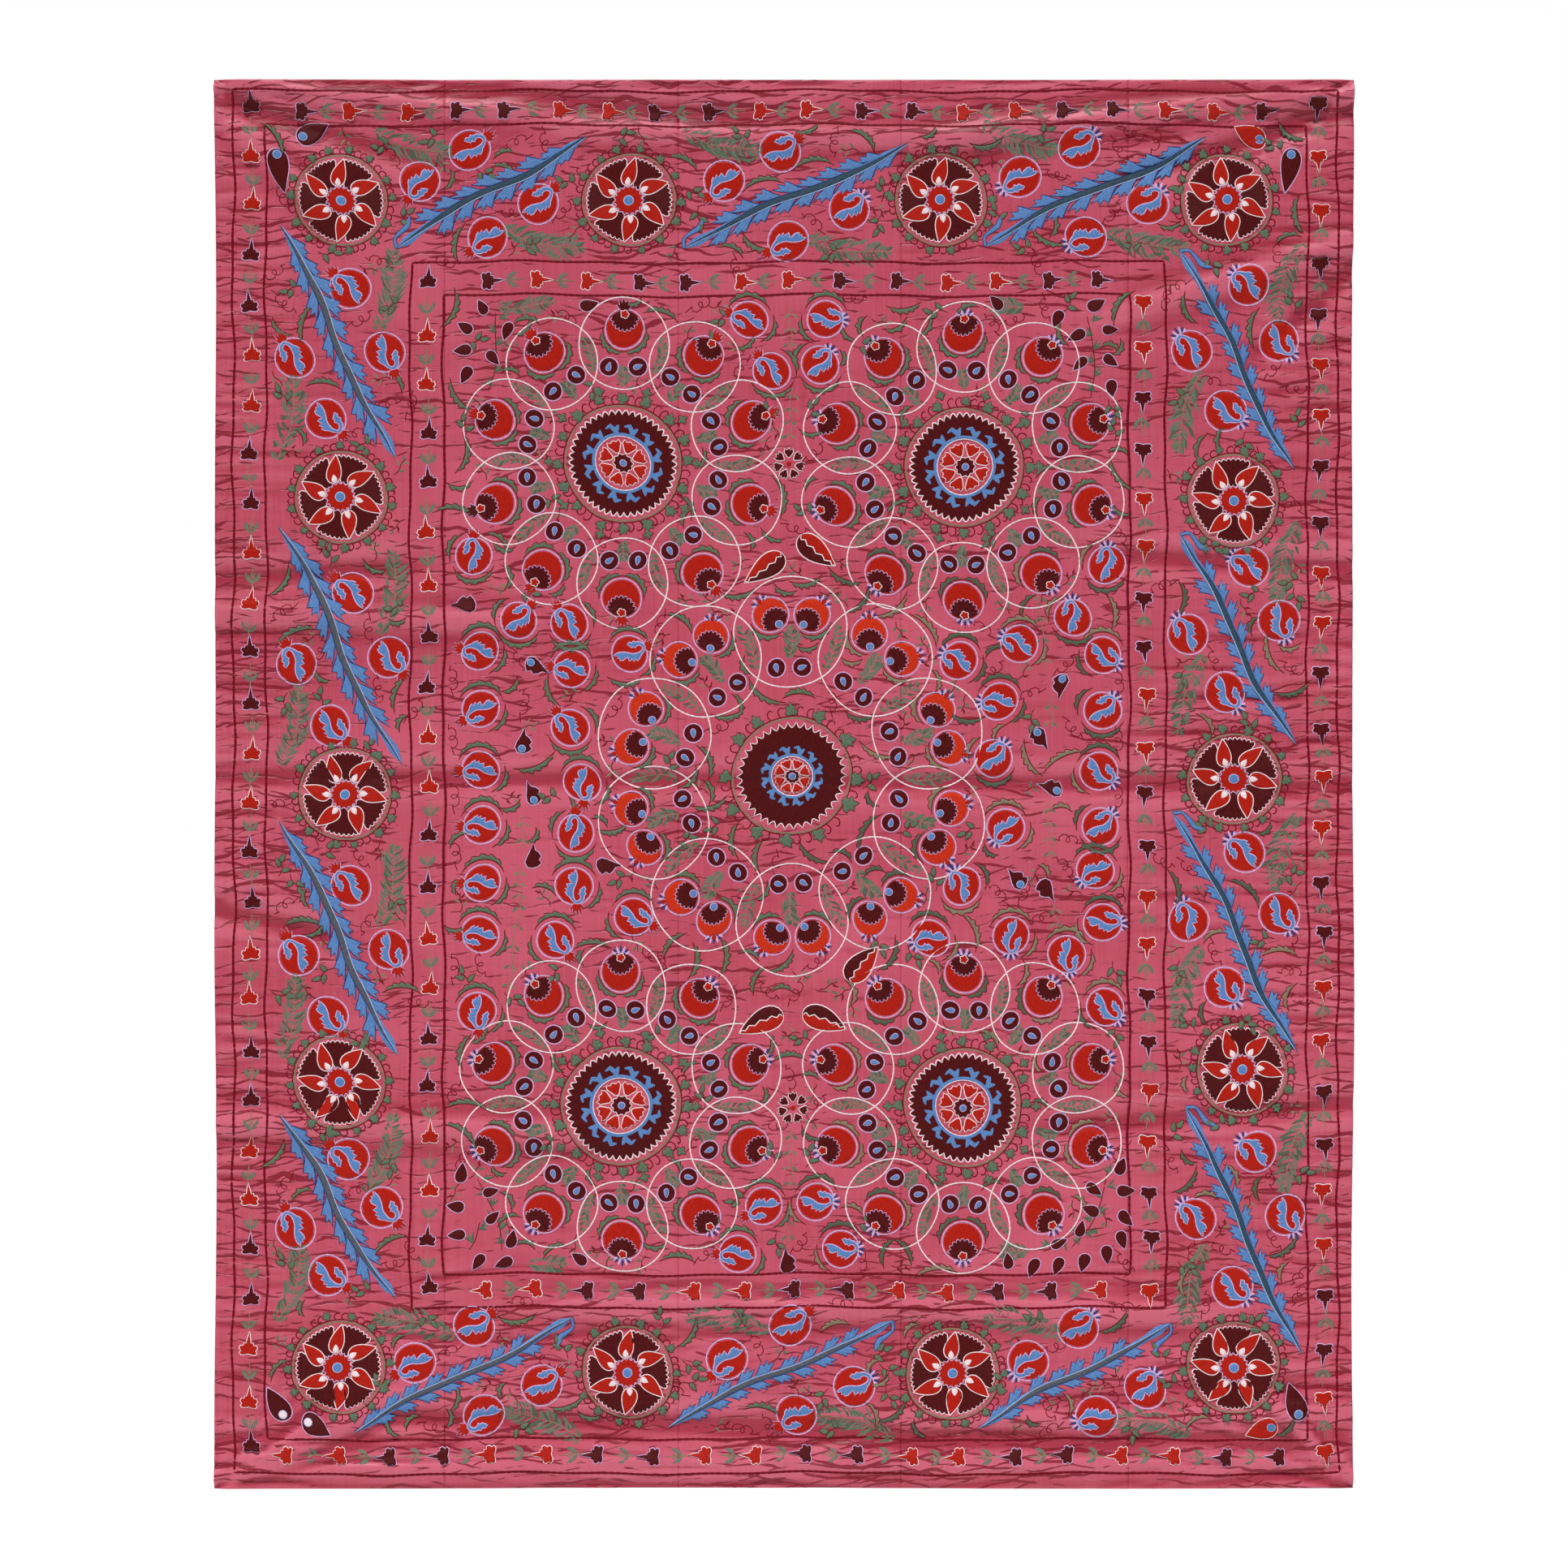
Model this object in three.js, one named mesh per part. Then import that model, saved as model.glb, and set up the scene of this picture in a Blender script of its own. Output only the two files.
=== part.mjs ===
// An embroidered silk wall hanging of the suzani kind: five loom-width strips of silk sewn side by side,
// hung by the top edge. Millimetres, +Z up, +X to the right as seen from the front, the worked face
// towards -Y. The origin is the middle of the top edge, where the hanging is held.
import * as THREE from "three";
import { mergeVertices } from "three/addons/utils/BufferGeometryUtils.js";

// Driving dimensions of the cloth.
const DROP = 2600; // top edge to bottom edge
const THICKNESS = 2; // silk, thread and turned hem together
const SEAM_GAP = 0.3; // between neighbouring strips
const STRIPS = [
  { name: "strip_far_left", width: 424 },
  { name: "strip_left", width: 431 },
  { name: "strip_middle", width: 411 },
  { name: "strip_right", width: 419 },
  { name: "strip_far_right", width: 415 },
];
const FULL_WIDTH = STRIPS.reduce((sum, strip) => sum + strip.width, 0);

// How finely a strip is divided: its folds run mostly from side to side, so they need more rows than columns.
const COLUMNS = 5;
const ROWS = 80;

// The slow swell of the cloth away from the wall, between the held top edge and the free bottom edge.
const SWELL = { depth: 6, waves_across: 1.5, waves_down: 1.25, phase: 0.6 };

// The main folds, from one end to the other. x is from the middle line and z from the top edge; reach is
// the half width of the fold and rise its height towards the front, negative for a trough.
const FOLDS = [
  // The fan that spreads from the upper left corner.
  { x1: -1050, z1: -10, x2: -520, z2: -52, reach: 24, rise: 10 },
  { x1: -1045, z1: -40, x2: -720, z2: -135, reach: 22, rise: -8 },
  { x1: -1040, z1: -60, x2: -880, z2: -215, reach: 24, rise: 8 },
  { x1: -600, z1: -25, x2: -120, z2: -75, reach: 22, rise: -7 },
  // The fan that spreads from the upper right corner.
  { x1: 1045, z1: -20, x2: 380, z2: -95, reach: 24, rise: 10 },
  { x1: 1045, z1: -60, x2: 690, z2: -165, reach: 22, rise: -8 },
  { x1: 1050, z1: -300, x2: 700, z2: -410, reach: 26, rise: 8 },
  { x1: 1050, z1: -355, x2: 940, z2: -450, reach: 24, rise: -9 },
  // Ripples along the top edge between the fans.
  { x1: -330, z1: -95, x2: 330, z2: -110, reach: 22, rise: 6 },
  // Creases that run in from the side edges.
  { x1: -1050, z1: -925, x2: -760, z2: -905, reach: 22, rise: -7 },
  { x1: -1050, z1: -985, x2: -560, z2: -1000, reach: 24, rise: 7 },
  { x1: 1050, z1: -905, x2: 640, z2: -880, reach: 22, rise: -6 },
  { x1: -1050, z1: -1530, x2: -900, z2: -1570, reach: 24, rise: -8 },
  { x1: -1050, z1: -1925, x2: -400, z2: -1945, reach: 26, rise: 8 },
  { x1: 1050, z1: -1890, x2: 560, z2: -1930, reach: 24, rise: -6 },
  // The old storage fold across the middle.
  { x1: -1050, z1: -1285, x2: 1050, z2: -1305, reach: 20, rise: -5 },
  // Ripples above the bottom edge and the two lower corners.
  { x1: -380, z1: -2265, x2: 700, z2: -2275, reach: 24, rise: 8 },
  { x1: -700, z1: -2470, x2: 420, z2: -2500, reach: 24, rise: -7 },
  { x1: 260, z1: -2480, x2: 980, z2: -2465, reach: 24, rise: 7 },
  { x1: -1045, z1: -2590, x2: -820, z2: -2480, reach: 24, rise: 10 },
  { x1: 1045, z1: -2590, x2: 930, z2: -2470, reach: 24, rise: 9 },
  { x1: -900, z1: -2560, x2: 900, z2: -2555, reach: 22, rise: 6 },
];

const SILK = { color: 0xb84c64, roughness: 0.5, metalness: 0 };

// Height of one fold at a point: rounded across its line, and fading past its two ends.
function foldHeight(fold, x, z) {
  const alongX = fold.x2 - fold.x1;
  const alongZ = fold.z2 - fold.z1;
  const length = Math.hypot(alongX, alongZ);
  const along = ((x - fold.x1) * alongX + (z - fold.z1) * alongZ) / length;
  const across = ((z - fold.z1) * alongX - (x - fold.x1) * alongZ) / length;
  const beyond = Math.max(0, -along, along - length);
  const fade = 4 * fold.reach; // a fold dies away slowly along its length
  return fold.rise * Math.exp(-((across / fold.reach) ** 2) - (beyond / fade) ** 2);
}

// How far the middle of the cloth stands towards the front at a point; the held top edge stays in line.
function relief(x, z) {
  const across = (2 * Math.PI * SWELL.waves_across * x) / FULL_WIDTH + SWELL.phase;
  const down = (2 * Math.PI * SWELL.waves_down * z) / DROP;
  const swell = SWELL.depth * Math.cos(across) * Math.sin(down);
  return FOLDS.reduce((height, fold) => height + foldHeight(fold, x, z), swell);
}

// One strip: a thin upright slab from its left seam to its right seam, bent to the folds.
function makeStrip(name, left, right) {
  const slab = new THREE.BoxGeometry(right - left, THICKNESS, DROP, COLUMNS, 1, ROWS);
  slab.translate((left + right) / 2, 0, -DROP / 2);
  const points = slab.getAttribute("position");
  for (let i = 0; i < points.count; i += 1) {
    const forward = relief(points.getX(i), points.getZ(i));
    points.setY(i, points.getY(i) - forward);
  }
  slab.deleteAttribute("normal");
  slab.deleteAttribute("uv");
  const sheet = mergeVertices(slab);
  sheet.computeVertexNormals();
  const mesh = new THREE.Mesh(sheet, new THREE.MeshStandardMaterial(SILK));
  mesh.name = name;
  return mesh;
}

const hanging = new THREE.Group();
let seam = -FULL_WIDTH / 2;
STRIPS.forEach((strip, index) => {
  const first = index === 0;
  const last = index === STRIPS.length - 1;
  const left = seam + (first ? 0 : SEAM_GAP / 2);
  seam += strip.width;
  const right = seam - (last ? 0 : SEAM_GAP / 2);
  hanging.add(makeStrip(strip.name, left, right));
});

export default hanging;
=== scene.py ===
# A suzani wall hanging: five strips of rose silk sewn side by side, worked in chain stitch with
# flower medallions, rings of pomegranates, long saz leaves and bands of small tulips.
# Motifs are drawn flat in millimetres, x from the middle line and z from the top edge, and then
# draped over the folds of the silk. The worked face looks towards -Y.
import math

import bpy
import numpy as np
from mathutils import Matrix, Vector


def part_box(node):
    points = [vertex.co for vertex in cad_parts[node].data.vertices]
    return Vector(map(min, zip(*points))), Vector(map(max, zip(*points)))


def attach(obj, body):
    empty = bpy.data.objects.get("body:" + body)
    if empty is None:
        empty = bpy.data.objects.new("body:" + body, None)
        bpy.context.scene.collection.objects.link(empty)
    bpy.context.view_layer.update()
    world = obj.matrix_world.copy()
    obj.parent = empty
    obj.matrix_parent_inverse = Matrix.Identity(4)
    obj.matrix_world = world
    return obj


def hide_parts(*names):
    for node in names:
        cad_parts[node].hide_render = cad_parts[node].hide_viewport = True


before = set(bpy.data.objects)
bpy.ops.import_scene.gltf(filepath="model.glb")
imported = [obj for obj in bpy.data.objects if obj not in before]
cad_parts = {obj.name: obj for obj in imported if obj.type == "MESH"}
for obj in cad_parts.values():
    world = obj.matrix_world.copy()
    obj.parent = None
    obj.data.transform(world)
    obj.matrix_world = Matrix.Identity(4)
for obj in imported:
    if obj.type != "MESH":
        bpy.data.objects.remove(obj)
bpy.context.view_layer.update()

# Sizes of the cloth, in millimetres unless a name says otherwise
MM = 0.001
STRIPS = ("strip_far_left", "strip_left", "strip_middle", "strip_right", "strip_far_right")
DROP = 2600.0
FULL_WIDTH = 2100.0
SILK_THICKNESS = 1.2
COLUMNS_PER_STRIP = 36
ROWS = 400
SEAM_GAP = 0.3
SEAM_CLOSING = 0.49  # share of the gap that each of its two strips reaches over
EDGE_ROLL = (0.0, 1.6, 4.5)
EDGE_ROLL_DEPTH = (1.3, 0.5, 0.0)
EDGE_WANDER, EDGE_WANDER_REACH = 2.6, 70.0
EDGE_WANDER_WAVES = (170.0, 610.0)
EDGE_WANDER_PHASE = 2.1
BACK_ROW_STEP = 5
# The fine creases on the back show their painted shade and their bump at this share
BACK_CREASES = 0.35  # how strongly the fine creases show on the back
HEM_WIDTH = 24.0
SEAM_ALLOWANCE = 11.0
TURNING_THICKNESS = 0.7
RANDOM = np.random.default_rng(41)

# The slow swell and the main folds, as in the CAD strips: each fold runs from x1, z1 to x2, z2,
# reach is its half width and rise is towards the front
SWELL_DEPTH, SWELL_ACROSS, SWELL_DOWN, SWELL_PHASE = 6.0, 1.5, 1.25, 0.6
FOLDS = (  # x1, z1, x2, z2, reach, rise
    (-1050, -10, -520, -52, 24, 10),
    (-1045, -40, -720, -135, 22, -8),
    (-1040, -60, -880, -215, 24, 8),
    (-600, -25, -120, -75, 22, -7),
    (1045, -20, 380, -95, 24, 10),
    (1045, -60, 690, -165, 22, -8),
    (1050, -300, 700, -410, 26, 8),
    (1050, -355, 940, -450, 24, -9),
    (-330, -95, 330, -110, 22, 6),
    (-1050, -925, -760, -905, 22, -7),
    (-1050, -985, -560, -1000, 24, 7),
    (1050, -905, 640, -880, 22, -6),
    (-1050, -1530, -900, -1570, 24, -8),
    (-1050, -1925, -400, -1945, 26, 8),
    (1050, -1890, 560, -1930, 24, -6),
    (-1050, -1285, 1050, -1305, 20, -5),
    (-380, -2265, 700, -2275, 24, 8),
    (-700, -2470, 420, -2500, 24, -7),
    (260, -2480, 980, -2465, 24, 7),
    (-1045, -2590, -820, -2480, 24, 10),
    (1045, -2590, 930, -2470, 24, 9),
    (-900, -2560, 900, -2555, 22, 6),
)

# Smaller troughs: puckers drawn up by the stitching, drag lines along the edges, and fans of
# folds that run in from the corners
PUCKERS = 3400
PUCKER_LENGTH = (20.0, 80.0)
PUCKER_REACH = (4.5, 8.5)
PUCKER_DEPTH = (0.4, 1.3)
PUCKER_TILT, DRAG_TILT = 7.0, 5.0
TROUGH_LIPS, TROUGH_TAPER = 1.2, 1.6
DRAG_LINES = (  # x from, x to, z from, z to, count
    (-1050, -960, -2600, 0, 130), (960, 1050, -2600, 0, 150),
    (-1050, 1050, -75, 0, 60), (-1050, 1050, -2600, -2500, 90),
    (700, 960, -2500, -1000, 70), (-700, 700, -2330, -2200, 60),
)
DRAG_LENGTH = (60.0, 240.0)
DRAG_REACH = (6.0, 11.0)
DRAG_DEPTH = (0.9, 2.6)
CORNER_FANS = (  # corner x, corner z, first and last direction of its folds
    (-1050, 0, -4, -52), (1050, 0, 184, 226), (-1050, -2600, 8, 66), (1050, -2600, 172, 118),
)
CORNER_FOLDS = 13
CORNER_FOLD_LENGTH = (140.0, 330.0)
CORNER_FOLD_REACH = (9.0, 15.0)
CORNER_FOLD_DEPTH = (1.6, 3.6)
HOLLOW_REACH, HOLLOW_DEPTH = 6, 3.0


def fold_height(x, z, x1, z1, x2, z2, reach, rise):
    """One soft ridge or trough along a line, fading out past its ends."""
    length = math.hypot(x2 - x1, z2 - z1)
    ahead_x, ahead_z = (x2 - x1) / length, (z2 - z1) / length
    along = (x - x1) * ahead_x + (z - z1) * ahead_z
    across = (z - z1) * ahead_x - (x - x1) * ahead_z
    beyond = np.maximum(0.0, np.maximum(-along, along - length))
    return rise * np.exp(-(across / reach) ** 2 - (beyond / (4 * reach)) ** 2)


def relief(x, z):
    """How far the silk stands towards the front: the swell and the main folds."""
    wave_across = np.cos(2 * np.pi * SWELL_ACROSS * x / FULL_WIDTH + SWELL_PHASE)
    wave_down = np.sin(2 * np.pi * SWELL_DOWN * z / DROP)
    height = SWELL_DEPTH * wave_across * wave_down
    for fold in FOLDS:
        height = height + fold_height(x, z, *fold)
    return height


def strip_columns(node):
    """The x places of one strip's columns, closer together along its two edges."""
    low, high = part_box(node)
    left = low.x / MM - (SEAM_CLOSING * SEAM_GAP if node != STRIPS[0] else 0.0)
    right = high.x / MM + (SEAM_CLOSING * SEAM_GAP if node != STRIPS[-1] else 0.0)
    inner = np.linspace(left, right, COLUMNS_PER_STRIP + 1)[1:-1]
    roll = np.array(EDGE_ROLL)
    return np.concatenate([left + roll, inner, (right - roll)[::-1]])


def cloth_rows():
    roll = np.array(EDGE_ROLL)
    inner = -np.linspace(0.0, DROP, ROWS + 1)[1:-1]
    return np.concatenate([-roll, inner, (roll - DROP)[::-1]])


def place_at(radius, degrees):
    return radius * math.cos(math.radians(degrees)), radius * math.sin(math.radians(degrees))


def press_trough(height, x, z, length, reach, depth, degrees):
    """Presses one short trough with raised lips into the net of heights."""
    along_x, along_z = place_at(1.0, degrees)
    half_x = TROUGH_TAPER * length * abs(along_x) + 4 * reach
    half_z = TROUGH_TAPER * length * abs(along_z) + 4 * reach
    c0, c1 = np.searchsorted(COLUMNS, (x - half_x, x + half_x))
    r0, r1 = np.searchsorted(-CLOTH_ROWS, (-z - half_z, -z + half_z))
    dx, dz = COLUMNS[c0:c1][None, :] - x, CLOTH_ROWS[r0:r1][:, None] - z
    along, across = dx * along_x + dz * along_z, dz * along_x - dx * along_z
    trough = (1.0 - TROUGH_LIPS * (across / reach) ** 2) * np.exp(-(across / reach) ** 2)
    height[r0:r1, c0:c1] -= depth * trough * np.exp(-(along / length * TROUGH_TAPER) ** 2)


def puckers(height):
    """Many short puckers, deeper towards the right and the hem."""
    for _ in range(PUCKERS):
        x = RANDOM.uniform(-0.5, 0.5) * FULL_WIDTH
        z = -RANDOM.uniform(0.0, 1.0) * DROP
        depth = RANDOM.uniform(*PUCKER_DEPTH) * (0.75 + 0.2 * x / (FULL_WIDTH / 2) - 0.15 * z / DROP)
        length, reach = RANDOM.uniform(*PUCKER_LENGTH), RANDOM.uniform(*PUCKER_REACH)
        press_trough(height, x, z, length, reach, depth, RANDOM.normal(0.0, PUCKER_TILT))


def drag_lines(height):
    """Longer lines that run in from the edges, and the folds that fan out from each corner."""
    for x_from, x_to, z_from, z_to, count in DRAG_LINES:
        for _ in range(count):
            x, z = RANDOM.uniform(x_from, x_to), RANDOM.uniform(z_from, z_to)
            length, reach = RANDOM.uniform(*DRAG_LENGTH), RANDOM.uniform(*DRAG_REACH)
            depth = RANDOM.uniform(*DRAG_DEPTH)
            press_trough(height, x, z, length, reach, depth, RANDOM.normal(0.0, DRAG_TILT))
    for corner_x, corner_z, first, last in CORNER_FANS:
        for k in range(CORNER_FOLDS):
            way = first + (last - first) * (k + RANDOM.uniform(0.1, 0.9)) / CORNER_FOLDS
            length = RANDOM.uniform(*CORNER_FOLD_LENGTH) * (1.0 - 0.5 * k / CORNER_FOLDS)
            x, z = place_at(RANDOM.uniform(0.5, 1.0) * length, way)
            depth = RANDOM.uniform(*CORNER_FOLD_DEPTH)
            reach = RANDOM.uniform(*CORNER_FOLD_REACH)
            press_trough(height, corner_x + x, corner_z + z, length, reach, depth, way)


def hollows(height):
    """How deep each point lies below the silk above and below it, as a share of a deep crease."""
    padded = np.pad(height, ((HOLLOW_REACH, HOLLOW_REACH), (0, 0)), mode="edge")
    around = np.mean([padded[k:k + len(height)] for k in range(2 * HOLLOW_REACH + 1)], axis=0)
    return np.clip((around - height) / HOLLOW_DEPTH, -1.0, 1.0)


def highest_near(height):
    """The highest silk within a row and a column of each point, where padded stitches rest."""
    padded = np.pad(height, 1, mode="edge")
    rows, cols = height.shape
    return np.max([padded[i:i + rows, k:k + cols] for i in range(3) for k in range(3)], axis=0)


STRIP_COLUMNS = [strip_columns(node) for node in STRIPS]
COLUMNS = np.concatenate(STRIP_COLUMNS)
CLOTH_ROWS = cloth_rows()
NET_X, NET_Z = np.meshgrid(COLUMNS, CLOTH_ROWS)
HEIGHT = relief(NET_X, NET_Z)
puckers(HEIGHT)
drag_lines(HEIGHT)
# The silk's colour takes painted shade in these hollows and a painted highlight on the ridges between them
HOLLOW = hollows(HEIGHT)
PADDED = highest_near(HEIGHT)


def height_at(x, z, net):
    """A height of the silk anywhere, read from its own net so that stitches lie on its faces."""
    column = np.clip(np.searchsorted(COLUMNS, x) - 1, 0, len(COLUMNS) - 2)
    row = np.clip(np.searchsorted(-CLOTH_ROWS, -z) - 1, 0, len(CLOTH_ROWS) - 2)
    u = (x - COLUMNS[column]) / (COLUMNS[column + 1] - COLUMNS[column])
    v = (z - CLOTH_ROWS[row]) / (CLOTH_ROWS[row + 1] - CLOTH_ROWS[row])
    upper = net[row, column] * (1 - u) + net[row, column + 1] * u
    lower = net[row + 1, column] * (1 - u) + net[row + 1, column + 1] * u
    return upper * (1 - v) + lower * v


def edge_wander(x, z):
    """How far the outer edges drift sideways, fading out towards the middle."""
    near = np.clip(1 - (FULL_WIDTH / 2 - np.abs(x)) / EDGE_WANDER_REACH, 0, 1)
    short, long = EDGE_WANDER_WAVES
    return EDGE_WANDER * near * np.sin(z / short + EDGE_WANDER_PHASE * np.sign(x)) * np.cos(z / long)


HAND_WANDER_ACROSS = ((2.4, 0.007, 0.019, 0.0), (1.3, -0.021, 0.043, 1.7))  # size, turn by x and z, phase
HAND_WANDER_DOWN = ((2.6, 0.012, 0.0, 0.9), (1.2, 0.037, 0.017, 0.4))


def hand_wander(x, z):
    """The small drift of lines drawn by hand on the silk."""
    def drift(waves):
        return sum(size * np.sin(by_x * x + by_z * z + phase) for size, by_x, by_z, phase in waves)

    return x + drift(HAND_WANDER_ACROSS), z + drift(HAND_WANDER_DOWN)


# Flat curves
def spline(points, per_span=6, closed=False):
    """A smooth curve through a few points."""
    p = np.asarray(points, float)
    ends = (p[-1:], p[:2]) if closed else (2 * p[:1] - p[1:2], 2 * p[-1:] - p[-2:-1])
    p = np.vstack([ends[0], p, ends[1]])
    t = np.linspace(0, 1, per_span, endpoint=False)[:, None]
    spans = []
    for a, b, c, d in zip(p[:-3], p[1:-2], p[2:-1], p[3:]):
        cubic = (3 * b - a - 3 * c + d) * t ** 3 + (2 * a - 5 * b + 4 * c - d) * t ** 2
        spans.append(0.5 * (cubic + (c - a) * t + 2 * b))
    curve = np.vstack(spans)
    return curve if closed else np.vstack([curve, p[-2:-1]])


def polar(radii, angles):
    return np.column_stack([radii * np.cos(angles), radii * np.sin(angles)])


def resampled(path, count):
    """The same line with its points evenly spaced."""
    path = np.asarray(path, float)
    reach = np.concatenate([[0], np.cumsum(np.hypot(*np.diff(path, axis=0).T))])
    at = np.linspace(0, reach[-1], count)
    return np.column_stack([np.interp(at, reach, path[:, 0]), np.interp(at, reach, path[:, 1])])


def ribbon(path, halves):
    """The two edges of a strip along a path, from its half widths."""
    ahead = np.gradient(path, axis=0)
    ahead = ahead / np.hypot(*ahead.T)[:, None]
    side = np.column_stack([-ahead[:, 1], ahead[:, 0]]) * np.asarray(halves)[:, None]
    return path + side, path - side


def turn_of(count):
    return np.linspace(0, 2 * np.pi, count, endpoint=False)


def circle(radius, count=36, x=0.0, z=0.0):
    return polar(radius, turn_of(count)) + (x, z)


def arc(radius, start, end, count=12):
    return polar(radius, np.radians(np.linspace(start, end, count)))


def scallops(radius, depth, lobes, per_lobe=4, pointed=False):
    """A round rim with rounded bumps, or with pointed teeth."""
    angles = turn_of(lobes * per_lobe)
    phase = lobes * angles / 2
    bump = 1 - np.abs(np.sin(phase)) if pointed else np.abs(np.cos(phase))
    return polar(radius - depth * (1 - bump), angles)


def lobed(radius, depth, lobes):
    angles = turn_of(6 * lobes)
    return polar(radius * (1 + depth * np.cos(lobes * angles)), angles)


def drop(length, width, bend=0.0, count=24):
    """A drop with its round end at the origin and its tip along +z, the tip bent sideways."""
    t = turn_of(count)
    z = length * (0.5 + 0.5 * np.cos(t))
    x = 0.65 * width * np.sin(t) * np.sin(t / 2) + bend * (z / length) ** 2
    return np.column_stack([x, z])


def mirrored(half):
    """A closed rim from its right half, given from bottom to top."""
    half = np.asarray(half, float)
    other = half[::-1] * (-1, 1)
    return np.vstack([half, other[1:-1]])


class Stamp:
    """Puts a motif that is drawn about its own middle onto the cloth."""

    def __init__(self, x, z, turn=0.0, size=1.0, mirror=False):
        c, s = math.cos(math.radians(turn)), math.sin(math.radians(turn))
        self.middle = np.array([x, z], float)
        self.turn = turn
        self.size = size
        self.axes = size * np.array([[c, s], [-s, c]])
        if mirror:
            self.axes[0] *= -1

    def __call__(self, points):
        return np.asarray(points, float) @ self.axes + self.middle

    def point(self, x, z):
        return self([(x, z)])[0]

    def inside(self, x, z, turn=0.0, size=1.0):
        """A smaller stamp placed within this one."""
        return Stamp(*self.point(x, z), self.turn + turn, self.size * size)


def stamp_along(x1, z1, x2, z2):
    """A stamp at the first point with its +z towards the second, and how far apart they are."""
    across, up = x2 - x1, z2 - z1
    return Stamp(x1, z1, math.degrees(math.atan2(up, across)) - 90), math.hypot(across, up)


# Stitches
class Thread:
    """All the stitches of one colour, as nets of points on the flat cloth and heights above it.
    A point's pad is 1 where it rests on padding and 0 where it touches the silk."""

    def __init__(self):
        self.places, self.lifts, self.pads, self.grain, self.faces = [], [], [], [], []
        self.count = 0

    def lay(self, net, lifts, pads, grain, wrap=False, heart=None):
        """Adds a net of n by m points, from right to left across its way, and a heart to close it."""
        n, m, _ = net.shape
        index = np.arange(n * m).reshape(n, m) + self.count
        here, ahead = (index, np.roll(index, -1, 0)) if wrap else (index[:-1], index[1:])
        a, b, c, d = here[:, :-1], ahead[:, :-1], ahead[:, 1:], here[:, 1:]
        self.faces.append(np.stack([a, b, c], -1).reshape(-1, 3))
        self.faces.append(np.stack([a, c, d], -1).reshape(-1, 3))
        self.places.append(net.reshape(-1, 2))
        self.lifts.append(np.broadcast_to(lifts, (n, m)).reshape(-1))
        self.pads.append(np.broadcast_to(pads, (n, m)).reshape(-1))
        self.grain.append(grain.reshape(-1, 2))
        self.count += n * m
        if heart is not None:
            point, lift, heart_grain = heart
            fan = np.column_stack([here[:, -1], ahead[:, -1], np.full(n, self.count)])
            self.faces.append(fan)
            self.places.append(point[None])
            self.lifts.append(np.array([lift]))
            self.pads.append(np.ones(1))
            self.grain.append(heart_grain[None])
            self.count += 1


THREADS = {}
LINK = 10.0
DRAWN_IN = 0.75  # fullness of a chain where two links meet
THREAD_END = 0.4  # fullness of a row at its two ends
SHOULDER, HEART_RISE = 0.85, 1.04  # shares of a patch's rise just inside its edge and at its heart
ON_STITCHES = 0.4  # stitches with a higher base lie on other stitches
ON_PATCH, ON_CREST = 0.6, 1.2  # bases of what is worked over one patch and over two
LOW = 0.5  # rise of thin strokes
RING_STEP = 14.0
WIDE_BAND = 26.0
BAND_SHARES = (0.0, 0.12, 0.5, 0.88, 1.0)
WIDE_BAND_SHARES = (0.0, 0.1, 0.3, 0.5, 0.7, 0.9, 1.0)


def thread(colour):
    return THREADS.setdefault(colour, Thread())


def edge_pad(base):
    """Edges touch the silk unless the stitches lie on other stitches."""
    return 1.0 if base > ON_STITCHES else 0.0


def grain_lines(net, degrees):
    """Thread lines of a filled patch: metres along and across the stitches."""
    c, s = math.cos(math.radians(degrees)), math.sin(math.radians(degrees))
    return net @ np.array([[c, -s], [s, c]]) * MM


def fill(colour, rim, heart=None, base=0.0, rise=0.7, grain=90.0):
    """A padded patch inside a rim that can be seen whole from its heart."""
    rim = np.asarray(rim, float)
    x, z = rim.T
    if np.sum(x * np.roll(z, -1) - np.roll(x, -1) * z) < 0:
        rim = rim[::-1]
    heart = rim.mean(0) if heart is None else np.asarray(heart, float)
    rings = 3 + int(np.hypot(*(rim - heart).T).mean() / RING_STEP)
    shares = np.concatenate([[1.0], np.linspace(0.9, 0.0, rings)[:-1]])
    net = heart + (rim[:, None, :] - heart) * shares[None, :, None]
    dome, pads = np.ones(rings), np.ones(rings)
    dome[:2] = 0.0, SHOULDER
    pads[0] = edge_pad(base)
    closing = (heart, base + HEART_RISE * rise, grain_lines(heart, grain))
    thread(colour).lay(net, base + rise * dome, pads, grain_lines(net, grain), True, closing)


def band(colour, left, right, base=0.0, rise=0.7, grain=None, wrap=False):
    """A padded strip between two edges."""
    left, right = np.asarray(left, float), np.asarray(right, float)
    ahead, over = np.diff(right, axis=0), (left - right)[:-1]
    if np.sum(ahead[:, 0] * over[:, 1] - ahead[:, 1] * over[:, 0]) < 0:
        left, right = right, left
    half = np.hypot(*(left - right).T) / 2
    share = np.array(WIDE_BAND_SHARES if 2 * half.max() > WIDE_BAND else BAND_SHARES)
    net = right[:, None, :] * (1 - share[:, None]) + left[:, None, :] * share[:, None]
    if grain is None:
        middle = (left + right) / 2
        steps = np.hypot(*np.diff(middle, axis=0).T)
        along = np.concatenate([[0], np.cumsum(steps)])
        across = (share - 0.5) * 2 * half[:, None]
        lines = np.dstack([np.broadcast_to(along[:, None], across.shape), across]) * MM
    else:
        lines = grain_lines(net, grain)
    dome = np.interp(share, BAND_SHARES, (0.0, SHOULDER, 1.0, SHOULDER, 0.0))
    pads = np.where(dome > 0.0, 1.0, edge_pad(base))
    thread(colour).lay(net, base + rise * dome, pads, lines, wrap)


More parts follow.
